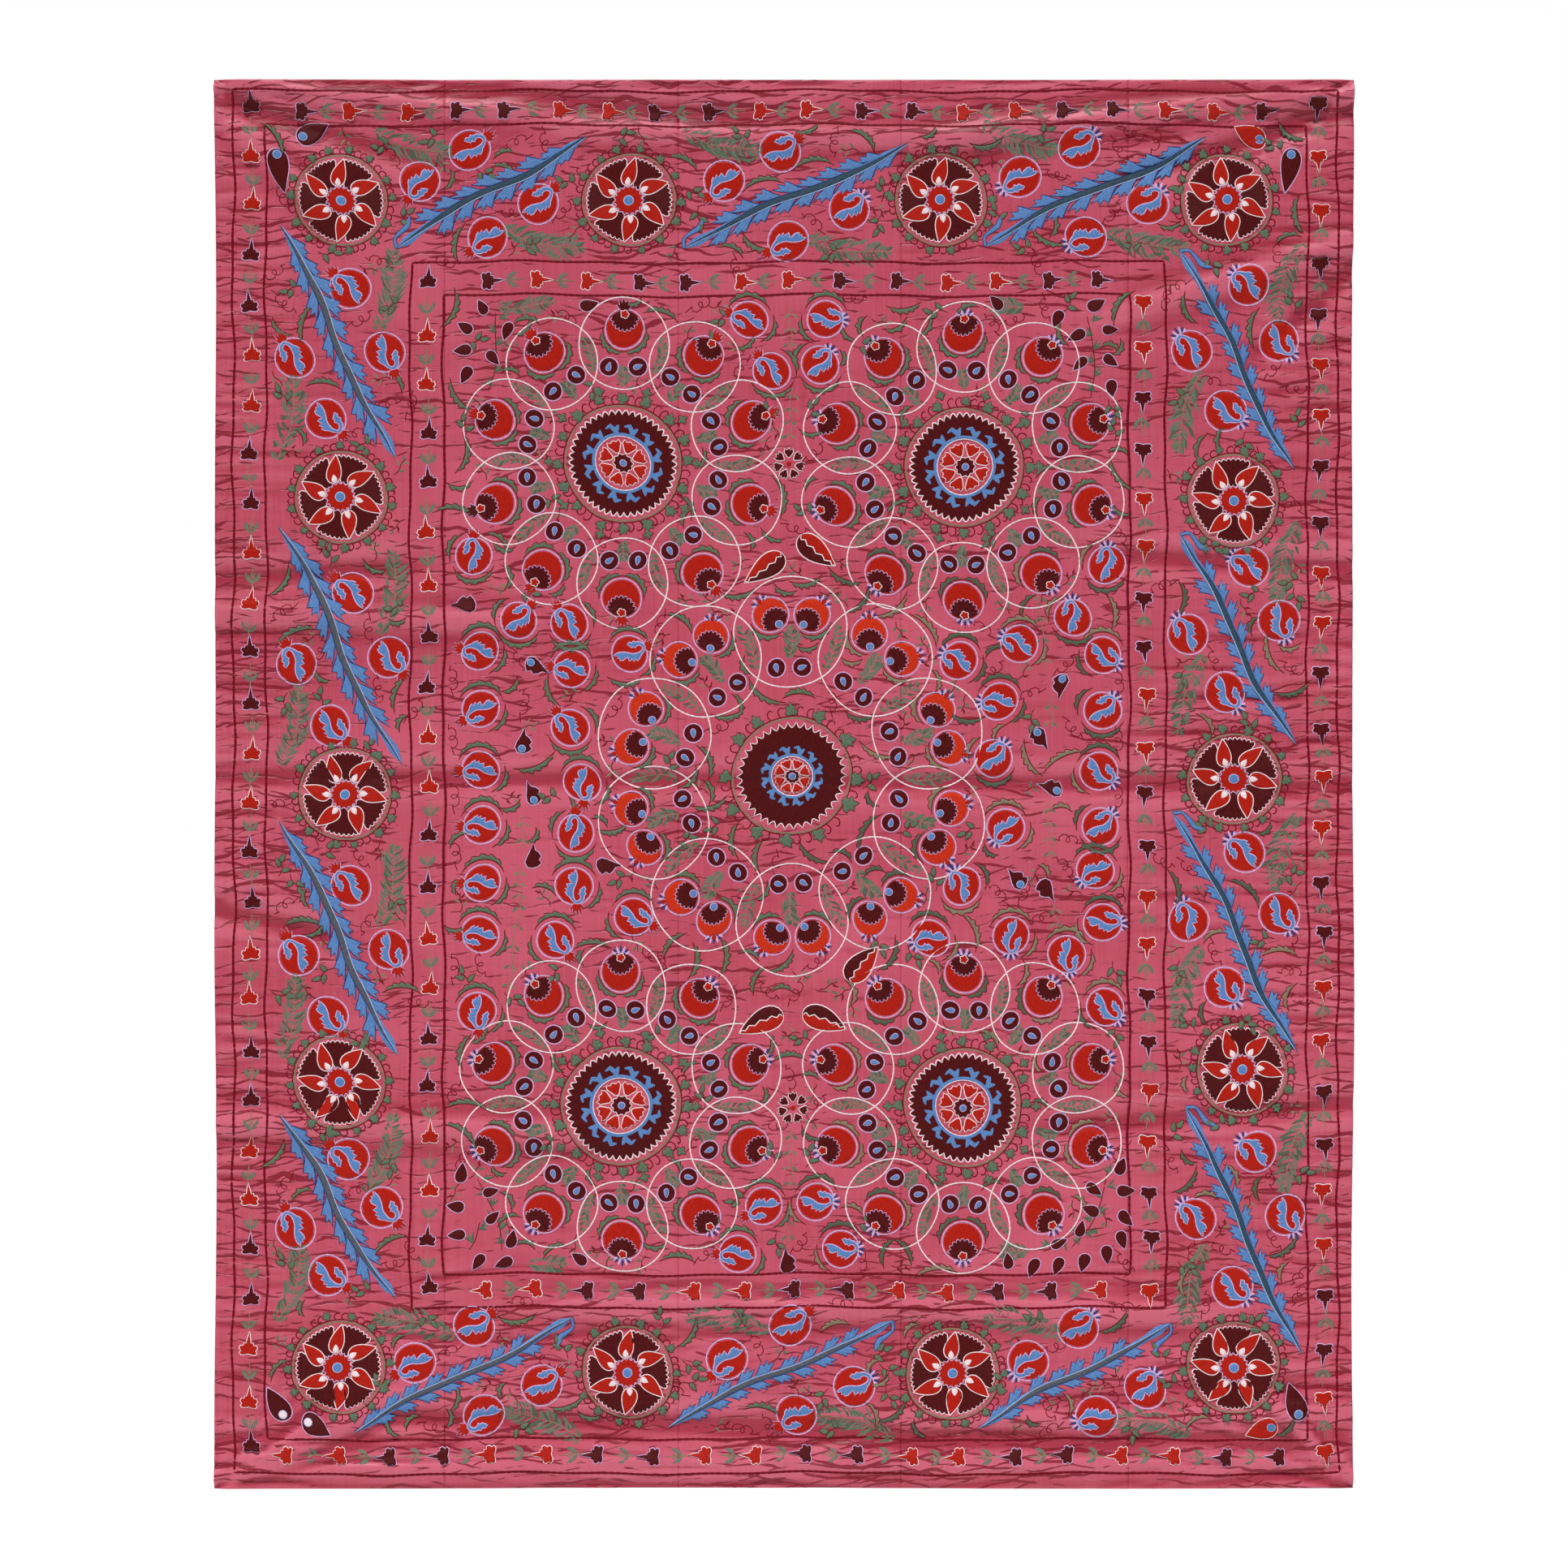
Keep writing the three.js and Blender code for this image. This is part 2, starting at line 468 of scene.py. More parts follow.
def thread_row(colour, p, width, full, closed, base, rise):
    """A raised row of thread through points, as full at each as given."""
    if closed:
        ahead = np.roll(p, -1, 0) - np.roll(p, 1, 0)
    else:
        ahead = np.gradient(p, axis=0)
    ahead = ahead / np.maximum(np.hypot(*ahead.T), 1e-6)[:, None]
    side = np.column_stack([-ahead[:, 1], ahead[:, 0]])
    across = (width / 2 * full)[:, None] * np.array([-1.0, 0.0, 1.0])
    net = p[:, None, :] + side[:, None, :] * across[..., None]
    crest = (rise * full)[:, None] * np.array([0.0, 1.0, 0.0])
    along = np.concatenate([[0], np.cumsum(np.hypot(*np.diff(p, axis=0).T))])
    lines = np.dstack([np.broadcast_to(along[:, None], across.shape), across]) * MM
    thread(colour).lay(net, base + crest, edge_pad(base), lines, closed)


def chain(colour, path, width=3.0, closed=False, link=LINK, base=0.1, rise=0.8):
    """A row of chain stitch: each link is full in its middle and drawn in where it meets the next."""
    path = np.asarray(path, float)
    if closed:
        path = np.vstack([path, path[:1]])
    length = np.sum(np.hypot(*np.diff(path, axis=0).T))
    p = resampled(path, 1 + max(2, 2 * int(round(length / link))))
    full = np.where(np.arange(len(p)) % 2 == 1, 1.0, DRAWN_IN)
    if closed:
        p, full = p[:-1], full[:-1]
    else:
        full[[0, -1]] = THREAD_END
    thread_row(colour, p, width, full, closed, base, rise)


def outline(colour, rim, width=2.0, base=0.1, rise=0.7):
    """A fine row of stitches round a rim, through its own corners."""
    rim = np.asarray(rim, float)
    thread_row(colour, rim, width, np.ones(len(rim)), True, base, rise)


def stem(colour, path, width=1.8, base=0.05, rise=0.6):
    """A fine open row of stitches along a path's own points."""
    path = np.asarray(path, float)
    full = np.ones(len(path))
    full[[0, -1]] = THREAD_END
    thread_row(colour, path, width, full, False, base, rise)


def stroke(colour, path, width, base=0.0, rise=0.6):
    """A single leaf-like stitch, full in the middle and pointed at both ends."""
    path = np.asarray(path, float)
    full = np.sin(np.linspace(0.1, 0.92, len(path)) * np.pi)
    thread_row(colour, path, width, full, False, base, rise)


def edged(colour, edge, rim, width=2.0, heart=None, base=0.0, grain=90.0):
    """A filled patch with a fine row of another colour round it."""
    fill(colour, rim, heart=heart, base=base, grain=grain)
    outline(edge, rim, width, base=base + 0.1)


def turned_patch(at, colour, edge, rim, width=2.0, heart=None, base=0.0):
    """An edged patch in a stamp's own frame, with its thread along the stamp's +z."""
    heart = None if heart is None else at.point(*heart)
    edged(colour, edge, at(rim), width, heart, base, at.turn + 90)


def ring(at, colour, radius, width, count=60, base=0.1, rise=0.8):
    """A circle of chain stitch round a stamp's middle."""
    chain(colour, at(circle(radius, count)), width, closed=True, base=base, rise=rise)


# Places where something is already worked, so that small fillers keep clear of it
TAKEN = []


def take(x, z, reach):
    TAKEN.append((x, z, reach))


def is_free(x, z, reach):
    x_taken, z_taken, reach_taken = np.array(TAKEN).T
    return np.all(np.hypot(x_taken - x, z_taken - z) > reach_taken + reach)


# Small leaves, sprigs and tendrils
IVY = mirrored(((0, -7), (5, -8), (9, -4), (5.5, -1), (8, 4), (3.5, 4), (0, 10)))
STARLET = lobed(7.4, 0.32, 4)
DROPLET = drop(33, 21, 7, 16) - (0, 13)
OLIVE_SIDE, OLIVE_BELOW = 60.0, -850.0  # from this x fruit has fan crowns, and half leaves below are olive
FERN_COLOURS = ("fern", "fern", "moss", "green")
FERN_BEND = ((0, 0), (0.06, 0.35), (0.02, 0.7), (-0.04, 1))
SPRIG_LEAVES = ((9, -4, -50), (-7, 4, 55), (-2, 16, 5))  # x, z, turn
TWIG_LEAVES = (((2, -9), (14, -1)), ((1, 0), (-12, 9)), ((1, 7), (13, 15)), ((2, 12), (-4, 22)))  # root, tip


def small_leaf(at, rim):
    turned_patch(at, "green", "crimson", rim, 1.8)


def crescent(at, radius, start, end, teeth=4, thick=10.0, tail=14.0):
    """Half a leaf that hugs a fruit: a smooth stem with tails, and lobes on its outer side."""
    share = np.linspace(0, 1, 4 * teeth + 1)
    angles = np.radians(start + (end - start) * share)
    step = (share * teeth) % 1.0
    out = thick * np.sin(np.pi * np.clip(share, 0.02, 0.98)) ** 0.6 * (0.45 + 0.73 * step)
    inner, outer = polar(radius, angles), polar(radius + 0.8 + out, angles)
    olive = at.middle[0] > OLIVE_SIDE and at.middle[1] < OLIVE_BELOW
    band(RANDOM.choice(("sage", "moss")) if olive else "green", at(inner), at(outer), rise=0.6)
    stem("crimson", at(outer), 2.7)
    tail = math.copysign(tail, end - start)
    stem("brown", at(arc(radius - 0.6, start - tail, end + tail, 12)), 2.5)
    for x, z in at(arc(radius + 6, start, end, 4)):
        take(x, z, 10)


def fern(at, length, reach, pairs, thick=6.0):
    """A frond: a bent stem and many narrow leaves that slant forward."""
    bend = length * np.array(FERN_BEND)
    stem("sage", at(spline(bend, 5)), 2.0)
    for x, z in at(np.linspace((0, 0), (0, length), 4)):
        take(x, z, 0.8 * reach)
    for k in range(pairs):
        share = (k + 0.4) / pairs
        full = 1.35 * reach * min(1.0, 0.55 + 1.6 * share, 0.3 + 2.4 * (1 - share))
        root_x = np.interp(share * length, bend[:, 1], bend[:, 0])
        for side in (-1, 1):
            lean, long = RANDOM.uniform(0.5, 0.95), full * RANDOM.uniform(0.75, 1.15)
            root = np.array([root_x, share * length * 0.93 + RANDOM.uniform(-2, 2)])
            tip = root + long * np.array([side * math.sin(lean), math.cos(lean)])
            belly = (root + tip) / 2 + (side * 0.08 * long, -0.05 * long)
            stroke(RANDOM.choice(FERN_COLOURS), at([root, belly, tip]), thick, rise=LOW)


def tendril(at, loops=2):
    """A thin crimson line that curls over itself."""
    t = np.linspace(0, 1, 10 * loops + 8)
    swing = 2 * np.pi * loops * np.clip((t - 0.3) / 0.5, 0, 1)
    x = 60 * t - 7.5 * np.sin(swing) - 30
    z = 9 * np.sin(2.2 * t) - 7.5 * (1 - np.cos(swing)) + 4
    stem("crimson", at(np.column_stack([x, z])), 1.8, rise=LOW)
    take(*at.middle, 22 * at.size)


def sprig(at):
    """A bent brown stem with three small leaves."""
    stem("brown", at(spline([(0, -22), (4, -6), (-2, 12)], 4)), 1.7)
    for x, z, turn in SPRIG_LEAVES:
        small_leaf(at.inside(x, z, turn + RANDOM.uniform(-15, 15)), drop(19, 10, 3, 10) - (0, 7))
    take(*at.middle, 18 * at.size)


def half_leaf(at):
    """A loose half leaf on a bent stem."""
    radius = RANDOM.uniform(26, 44)
    crescent(at.inside(0, -radius - 4), radius, 60, 120, 3, 9.5, 12)


def long_half_leaf(at):
    """A longer half leaf, less bent, for the wider gaps."""
    radius = RANDOM.uniform(60, 90)
    crescent(at.inside(0, -radius - 4), radius, 66, 114, 5, 11.0, 8)


def twig(at):
    """A brown stem that forks, with a few thin leaves."""
    stem("brown", at(spline([(-2, -20), (3, -8), (0, 4), (4, 18)], 3)), 1.8)
    for root, tip in TWIG_LEAVES:
        middle = ((root[0] + tip[0]) / 2, (root[1] + tip[1]) / 2 - 2)
        stroke(RANDOM.choice(("brown", "sage", "green")), at([root, middle, tip]), 4.6, rise=LOW)


def spray(x1, z1, x2, z2, twigs):
    """A brown stem with fans of thin green strokes to its left and right, as in the field's corners."""
    at, length = stamp_along(x1, z1, x2, z2)
    stem("brown", at(spline([(0, 0), (0.08 * length, 0.4 * length), (0, length)], 8)), 1.9)
    for k in range(twigs):
        z = length * (k + 0.5) / twigs
        take(*at.point(0, z), 14)
        root = at.inside(0.06 * length, z, (-1) ** k * RANDOM.uniform(35, 60))
        for lean in (-28, 0, 28):
            tip = place_at(RANDOM.uniform(17, 25), 90 + lean)
            middle = (0.4 * tip[0], 0.55 * tip[1])
            stroke("moss" if lean else "green", root([(0, 0), middle, tip]), 4.6, rise=LOW)


def leafy_stem(x1, z1, x2, z2, pairs):
    """A faint stem with pairs of small oval leaves."""
    at, length = stamp_along(x1, z1, x2, z2)
    stem("sage", at(spline([(0, 0), (4, length / 3), (-4, 2 * length / 3), (0, length)], 7)), 1.8)
    for k in range(pairs):
        z = length * (k + 0.5) / pairs
        take(*at.point(0, z), 13)
        for side in (-1, 1):
            lean = RANDOM.uniform(0.5, 1.0)
            leaf = [(side * 2, z), (side * 7.5, z + 5 * lean), (side * 13, z + 11 * lean)]
            stroke("green" if RANDOM.random() < 0.6 else "sage", at(leaf), 5.4, rise=LOW)


# Pomegranates. The leaf inside is charted for a fruit of radius 1 whose crown points up and left.
SAZ_SMOOTH_EDGE = (
    (-.66, .64), (-.44, .60), (-.24, .42), (-.07, .16), (.00, -.18), (.10, -.46), (.25, -.68), (.48, -.86),
)
SAZ_LOBED_EDGE = (
    (-.66, .76), (-.40, .74), (-.14, .66), (.04, .66), (.22, .58), (.12, .47), (.34, .40), (.22, .28),
    (.44, .12), (.30, .05), (.20, -.06), (.34, -.12), (.54, -.24), (.62, -.40), (.50, -.46), (.58, -.58),
    (.40, -.62), (.47, -.74), (.48, -.86),
)
SAZ_HOOK_OUTER = (
    (-.60, .76), (-.76, .74), (-.88, .60), (-.92, .38), (-.88, .16), (-.76, .04), (-.82, -.06), (-.66, -.10),
    (-.68, -.24), (-.48, -.34),
)
SAZ_HOOK_INNER = (
    (-.60, .64), (-.70, .58), (-.75, .42), (-.70, .28), (-.58, .20), (-.48, .22), (-.50, .06), (-.40, .00),
    (-.44, -.16), (-.48, -.34),
)
CROWN = (
    (-7, -2), (-14, 8), (-8, 8), (-9, 19), (-3, 12), (0, 22), (3, 12), (10, 18), (8, 8), (14, 7), (7, -2),
)
FRUIT_RADIUS, CREST_FRUIT_RADIUS, EYE_FRUIT_RADIUS = 36.0, 33.5, 29.5
LEAF_IN_FRUIT = 0.94
CREST_LOBES = 9
FAN_CROWN = (  # lean from +z, height
    (-58, 9),(-38, 13), (-19, 15), (0, 17), (19, 15), (38, 13), (58, 9),
)


def crown(at, radius, inner):
    """The small toothed crown on a fruit's rim, along +z."""
    turned_patch(at, inner, "lilac", np.asarray(CROWN) + (0, radius), 1.6, (0, radius + 4))


def fan_crown(at, radius):
    """A crown of navy and lilac spikes."""
    for k, (lean, tall) in enumerate(FAN_CROWN):
        root = np.array([0.15 * lean, radius - 1.0])
        tip = root + place_at(tall, 90 - lean)
        stroke(("lilac", "navy")[k % 2], at(np.linspace(root, tip, 4)), 4.4, base=0.2)


def fruit_with_leaf(x, z, crown_at, size=1.0):
    """A red pomegranate with a blue curled leaf across it."""
    at = Stamp(x, z, crown_at - 135, size)
    fill("red", at(circle(FRUIT_RADIUS - 2)))
    take(x, z, FRUIT_RADIUS * size + 3)
    if x < OLIVE_SIDE:
        crown(Stamp(x, z, crown_at - 90, size), FRUIT_RADIUS + 1, "red")
    else:
        fan_crown(Stamp(x, z, crown_at - 90, size), FRUIT_RADIUS)
    for left, right in ((SAZ_LOBED_EDGE, SAZ_SMOOTH_EDGE), (SAZ_HOOK_INNER, SAZ_HOOK_OUTER)):
        left = at(np.asarray(left) * LEAF_IN_FRUIT * FRUIT_RADIUS)
        right = at(resampled(spline(np.asarray(right) * LEAF_IN_FRUIT * FRUIT_RADIUS, 4), len(left)))
        band("blue", left, right, base=ON_PATCH, grain=at.turn + 60)
        outline("lilac", np.vstack([left, right[-2::-1]]), 2.3, base=ON_PATCH + 0.1)
    ring(at, "lilac", FRUIT_RADIUS + 1.4, 2.6)


def crest(at, radius, middle, reach):
    """A maroon crest on the rim along +z, its lower edge a bowl of nine finely edged lobes."""
    share = np.linspace(0, 1, 4 * CREST_LOBES + 1)
    bumps = 0.16 * radius * (np.abs(np.sin(CREST_LOBES * np.pi * share)) - 0.6)
    bowl = polar(reach * radius + bumps, np.pi * (1 + share)) + (0, middle * radius)
    side = math.degrees(math.atan2(middle, reach))
    rim = np.vstack([arc(radius - 0.5, side, 180 - side), bowl])
    fill("maroon", at(rim), heart=at.point(0, 0.4 * radius), base=ON_PATCH)
    stem("lilac", at(bowl), 1.3, base=ON_PATCH + 0.2)


def plain_fruit(at, colour, radius):
    """A round fruit with a lilac ring round it."""
    fill(colour, at(circle(radius)))
    take(*at.middle, radius + 4)
    ring(at, "lilac", radius + 3.2, 2.4)


def fruit_with_crest(at, fanned):
    """A red pomegranate with a maroon crest under its crown, the crown along +z."""
    radius = CREST_FRUIT_RADIUS
    plain_fruit(at, "red", radius)
    crest(at, radius, 0.64, 0.75)
    edged("red", "white", at(scallops(8.0, 2.2, 5) + (0, radius - 7)), 1.8, base=ON_CREST)
    if fanned:
        fan_crown(at, radius)
    else:
        crown(at, radius + 2, RANDOM.choice(("red", "maroon")))


def fruit_with_eye(at):
    """An orange pomegranate with a maroon crest and a blue eye at its foot, the crown along +z."""
    radius = EYE_FRUIT_RADIUS
    plain_fruit(at, "orange", radius)
    crest(at.inside(0, 0, 180), radius, 0.52, 0.82)
    edged("blue", "lilac", at(circle(6.5, 16, 0, 6 - radius)), 1.6, base=ON_CREST)
    fan_crown(at, radius)
    fill("red", at(circle(4.5, 10, 0, radius + 3)), base=ON_PATCH)


def bead(at):
    """A small maroon disc with a blue almond."""
    take(*at.middle, 19)
    fill("maroon", at(circle(16.0, 24)))
    turned_patch(at, "blue", "lilac", drop(17, 9, count=14) - (0, 8), 1.4, base=ON_PATCH)
    ring(at, "lilac", 17.6, 2.2, 30)


# Paisleys and buds
BUD = (
    (0, 21), (3, 11), (9, 7), (13, 2), (10, -3), (14, -8), (9, -13), (2, -16), (-6, -15), (-10, -8), (-8, 0),
    (-4, 9),
)


def boteh(at):
    """A large bent drop, half maroon and half red, with a white wavy line between."""
    rim = drop(86, 45, 15, 24) - (0, 36)
    take(*at.middle, 38)
    right, left = rim[:13], rim[[0, *range(23, 11, -1)]]
    spine = (left + right) / 2
    band("maroon", at(left), at(spine))
    band("red", at(spine), at(right))
    waves = spline(spine[1:-1] + np.outer(2.6 * (-1.0) ** np.arange(11), (1, 0)), 2)
    stem("white", at(waves), 2.0, base=ON_PATCH)
    outline("white", at(rim), 2.4)


def paisley(at, length, colour, dot):
    """A bent drop with a dot in its round end, the tip along +z."""
    edge = "white" if colour == "red" else "lilac"
    turned_patch(at, colour, edge, drop(length, 40, 0.28 * length) - (0, 0.45 * length), 2.2)
    edged(dot, "pale", at(circle(7.5, 14, 0, 12 - 0.45 * length)), 1.6, base=ON_PATCH)
    take(*at.middle, 34)


def bud(at, dotted):
    take(*at.middle, 20)
    turned_patch(at, "maroon", "lilac", BUD, 2.0, (0, -4))
    if dotted:
        edged("blue", "pale", at(circle(5.0, 12, 0, -9)), 1.5, base=ON_PATCH)


# Medallions and rosettes
def petal_rim(inner, outer, half_inner, half_outer):
    """A petal with three teeth at its wide end, along +z."""
    half = (
        (0, inner), (half_inner, inner + 2), (half_outer, outer - 7), (half_outer * 0.9, outer),
        (half_outer * 0.45, outer - 3), (0, outer + 1),
    )
    return mirrored(half)


WREATH_HOOKS = (  # shares of the lobe's turn, shares of the way from the ring to its tip
    ((0.34, 0.40, 0.58, 0.86), (-0.2, 0.45, 1.0, 0.82)), ((0.34, 0.28, 0.14), (-0.2, 0.5, 1.0)),
)


def hooked_wreath(at, inner, foot, tip, lobes):
    """A blue ring with forked hooks on its outer side."""
    band("blue", at(circle(inner, 60)), at(circle(foot + 1, 60)), base=ON_PATCH, grain=90, wrap=True)
    for lobe in range(lobes):
        for turns, ways in WREATH_HOOKS:
            angles = 2 * np.pi * (lobe + np.array(turns)) / lobes
            hook = resampled(polar(foot + (tip - foot) * np.array(ways), angles), 7)
            stroke("blue", at(hook), 0.54 * (tip - foot), base=0.9)
    ring(at, "white", inner, 2.6, base=ON_PATCH)


RING_CURL = ((0.0, 0), (0.5, 3.5), (1.05, 2.5), (1.35, -3.5), (1.05, -7))  # share of the reach, mm along


def sprouting_ring(at, radius, sprouts, reach, leaf_size):
    """Two thin rings, with ivy leaves and small brown curls round the outer one."""
    outline("sage", at(circle(radius - 2.4, 72)), 3.0, rise=LOW)
    outline("brown", at(circle(radius + 1.4, 72)), 2.4, rise=0.6)
    take(*at.middle, radius + reach + 9)
    for k in range(sprouts):
        angle = 360 * (k + RANDOM.uniform(-0.15, 0.15)) / sprouts
        out = place_at(radius + reach * RANDOM.uniform(0.75, 1.1), angle)
        stem("brown", at([place_at(radius, angle + 4), out]), 1.8)
        lean = RANDOM.uniform(-40, 40)
        small_leaf(at.inside(*out, angle - 90 + lean, leaf_size * RANDOM.uniform(0.85, 1.1)), IVY)
        for share in (0.33, 0.66):
            from_angle = angle + 360 * share / sprouts
            curl = [
                place_at(radius + far * reach, from_angle + math.degrees(along / radius))
                for far, along in RING_CURL
            ]
            stem("crimson", at(spline(curl, 2)), 2.3)


def medallion(x, z, teeth, pointed, wreath, petals, sprouts, leaf_size):
    """A toothed maroon disc round a blue wreath and a flower of red petals."""
    at = Stamp(x, z, 0)
    inner, foot, tip = wreath
    depth = 10.5 if pointed else 8.5
    disc, edge = scallops(98.8, depth, teeth, 6, pointed), scallops(100, depth, teeth, 6, pointed)
    band("maroon", at(circle(inner - 1.0, len(disc))), at(disc), grain=90, wrap=True)
    outline("white", at(edge), 1.8 if pointed else 2.4)
    hooked_wreath(at, inner, foot, tip, 12)
    size = inner / 51.0
    for k in range(petals):
        turned = at.inside(0, 0, 360 * k / petals + 22, size)
        turned_patch(turned, "red", "white", petal_rim(20, 43, 4, 13), 2.2)
    edged("maroon", "white", at(scallops(18.5 * size, 4 * size, 10, 5)), 1.8)
    edged("blue", "lilac", at(circle(6.0, 16)), 1.6, base=ON_PATCH)
    sprouting_ring(at, 109, sprouts, 14, leaf_size)


def rosette(x, z, turn):
    """Six maroon fans and six red flames round a toothed red flower."""
    at = Stamp(x, z, turn)
    for k in range(6):
        fan_at = at.inside(0, 0, 60 * k + 30)
        bumps = np.abs(np.sin(np.linspace(0, 7 * np.pi, 29)))
        outer = polar(73.0 + 4.5 * bumps, np.radians(np.linspace(66, 114, 29)))
        foot = polar(np.array([27.0, 24.0, 27.0]), np.radians([104, 90, 76]))
        turned_patch(fan_at, "maroon", "white", np.vstack([outer, foot]), 2.1, (0, 52))
    for k in range(6):
        flame_at = at.inside(0, 0, 60 * k)
        turned_patch(flame_at, "red", "white", drop(51, 28, 12) + (-4, 27), 2.1, base=0.5)
        fill("white", flame_at(drop(15, 11, count=12) + (-3.5, 28)), base=1.1, rise=0.6)
    edged("red", "lilac", at(scallops(28.5, 5, 17, 6, True)), 1.8, base=0.8)
    edged("blue", "pale", at(circle(8.4, 18)), 2.0, base=1.4)
    sprouting_ring(at, 85.5, 14, 10, 1.0)


def small_star(x, z):
    """A loose flower of seven small notched petals round a dot."""
    at = Stamp(x, z)
    take(x, z, 32)
    for k in range(7):
        turned_patch(at.inside(0, 0, 360 * k / 7), "maroon", "white", petal_rim(11, 28, 2.5, 8))
    fill("red", at(circle(4.5, 12)))


# Saz leaves and the tulip bands
SAZ_PITCH = 42.0
SAZ_FULL_WIDTH, SAZ_SLIM_WIDTH = 27.0, 24.0
SAZ_SLIM_RIB = 0.85
SAZ_FULL_LOBE = (  # share of the pitch along the leaf, share of the half width
    (0.06, 0.20), (0.30, 0.46), (0.50, 0.78), (0.74, 1.12), (0.84, 0.80), (1.14, 1.04), (1.08, 0.70),
    (1.42, 0.76), (1.06, 0.44), (0.82, 0.30), (0.70, 0.20),
)
SAZ_SLIM_LOBE = (
    (0.02, 0.26), (0.26, 0.60), (0.46, 1.02), (0.56, 0.74), (0.80, 1.14), (0.76, 0.76), (1.04, 0.86),
    (0.82, 0.48), (0.68, 0.26),
)
SAZ_FULL_HEART, SAZ_SLIM_HEART = (0.78, 0.56), (0.58, 0.54)
SAZ_BASE_HALVES = ((0.0, 0.1, 0.2, 0.88, 0.94, 1.0), (0.5, 9.0, 7.2, 6.4, 10.0, 0.5))  # share, half width
SAZ_RIB_HALVES = ((0.0, 0.3, 0.7, 0.95, 1.0), (0.6, 5.8, 5.4, 0.8, 0.4))
SAZ_CURL = ((0, 0), (-6, -16), (-24, -21), (-38, -24), (-52, -38))
SAZ_CURL_HALVES = ((0, 0.3, 0.6, 0.85, 1), (3, 2.4, 4.5, 5, 0.4))


def saz_leaf(foot, tip, midrib, slim, curled):
    """A long blue leaf whose toothed lobes slant back to its foot, some with a small curl there."""
    half_width = SAZ_SLIM_WIDTH if slim else SAZ_FULL_WIDTH
    lobe, lobe_heart = (SAZ_SLIM_LOBE, SAZ_SLIM_HEART) if slim else (SAZ_FULL_LOBE, SAZ_FULL_HEART)
    length = math.hypot(*(foot - tip))
    turn = math.degrees(math.atan2(*(foot - tip)[::-1]))
    at = Stamp(*tip, turn)
    spine = spline([(0, 0), (0.3 * length, 9), (0.65 * length, -7), (length, 0)], 14)
    reach = np.concatenate([[0], np.cumsum(np.hypot(*np.diff(spine, axis=0).T))])
    share = reach / reach[-1]

    def across(point, start, side, swell):
        along, out = point
        x = np.interp((start + along) * SAZ_PITCH, reach, spine[:, 0])
        z = np.interp((start + along) * SAZ_PITCH, reach, spine[:, 1])
        return x, z + side * half_width * out * swell

    def edges(halves):
        side = np.outer(halves, (0, 1))
        return at(spine + side), at(spine - side)

    band("blue", *edges(np.interp(share, *SAZ_BASE_HALVES)), grain=turn + 55)
    for side, offset in ((1, 0.5), (-1, 1.0)):
        for k in range(int((length - 20) / SAZ_PITCH - offset - 0.8)):
            way = (k + offset + 0.6) * SAZ_PITCH / length
            swell = min(1.0, 0.42 + 2.4 * way, 0.55 + 3.5 * (1 - way)) * RANDOM.uniform(0.86, 1.1)
            start = k + offset + RANDOM.uniform(-0.06, 0.06)
            rim = at([across(point, start, side, swell) for point in lobe])
            heart = at.point(*across(lobe_heart, start, side, swell))
            fill("blue", rim, heart=heart, grain=turn + 40 * side)
            stem("navy", rim, 2.8)
    for x, z in at(spine[::4]):
        take(x, z, half_width)
    left, right = edges(np.interp(share, *SAZ_RIB_HALVES) * (SAZ_SLIM_RIB if slim else 1.0))
    band(midrib, left, right, base=0.7)
    stem("pale", left, 1.6, base=0.9)
    stem("navy", right, 1.6, base=0.9)
    if curled:
        curl = spline(np.asarray(SAZ_CURL) + (length, 0), 4)
        left, right = ribbon(curl, np.interp(np.linspace(0, 1, len(curl)), *SAZ_CURL_HALVES))
        take(*at.point(length - 25, -22), 20)
        band("blue", at(left), at(right))
        outline("navy", at(np.vstack([left, right[::-1]])), 1.6)


CELL_FRUIT = (  # share of the leaf from its foot, mm to the left of it, crown turned from its way
    (0.25, 84, 197), (0.51, 85, 0), (0.38, -71, 182), (0.66, -65, 17),
)
CELL_FERNS = ((0.60, -128), (0.32, 146))
CELL_FERN_LENGTH = 165
CELL_TENDRILS = ((0.72, 62), (0.14, -70), (0.52, -58), (0.9, -60))
CELL_SPRIGS = ((0.53, -125), (0.40, 140), (0.10, 42), (0.82, -58))


def border_cell(foot, tip, midrib, along):
    """One saz leaf with its four pomegranates, two ferns, tendrils and sprigs."""
    foot, tip = np.asarray(foot, float), np.asarray(tip, float)
    way = tip - foot
    left = np.array([-way[1], way[0]]) / math.hypot(*way)
    turn = math.degrees(math.atan2(way[1], way[0]))
    saz_leaf(foot, tip, midrib, along in (180, 270), along != 90)
    for share, side, crown_turn in CELL_FRUIT:
        x, z = foot + way * share + left * side
        fruit_with_leaf(x, z, turn + crown_turn + RANDOM.uniform(-12, 12))
    for share, side in CELL_FERNS:
        at = Stamp(*(foot + way * share + left * side), along - 105 + RANDOM.uniform(-6, 6))
        fern(at.inside(0, -CELL_FERN_LENGTH / 2), CELL_FERN_LENGTH, 26, 25)
    for motif, places in ((tendril, CELL_TENDRILS), (sprig, CELL_SPRIGS)):
        for share, side in places:
            motif(Stamp(*(foot + way * share + left * side), RANDOM.uniform(0, 360)))


TULIP = mirrored((
    (0, -10), (7, -12), (13, -12), (16, -8.5), (13, -5), (16.5, 0), (14.5, 5), (9.5, 4.5), (8, 10),
    (4.4, 9), (3.2, 15), (1.6, 23), (0, 31),
))
TULIP_COLOURS = (("maroon", "lilac"), ("red", "white"))


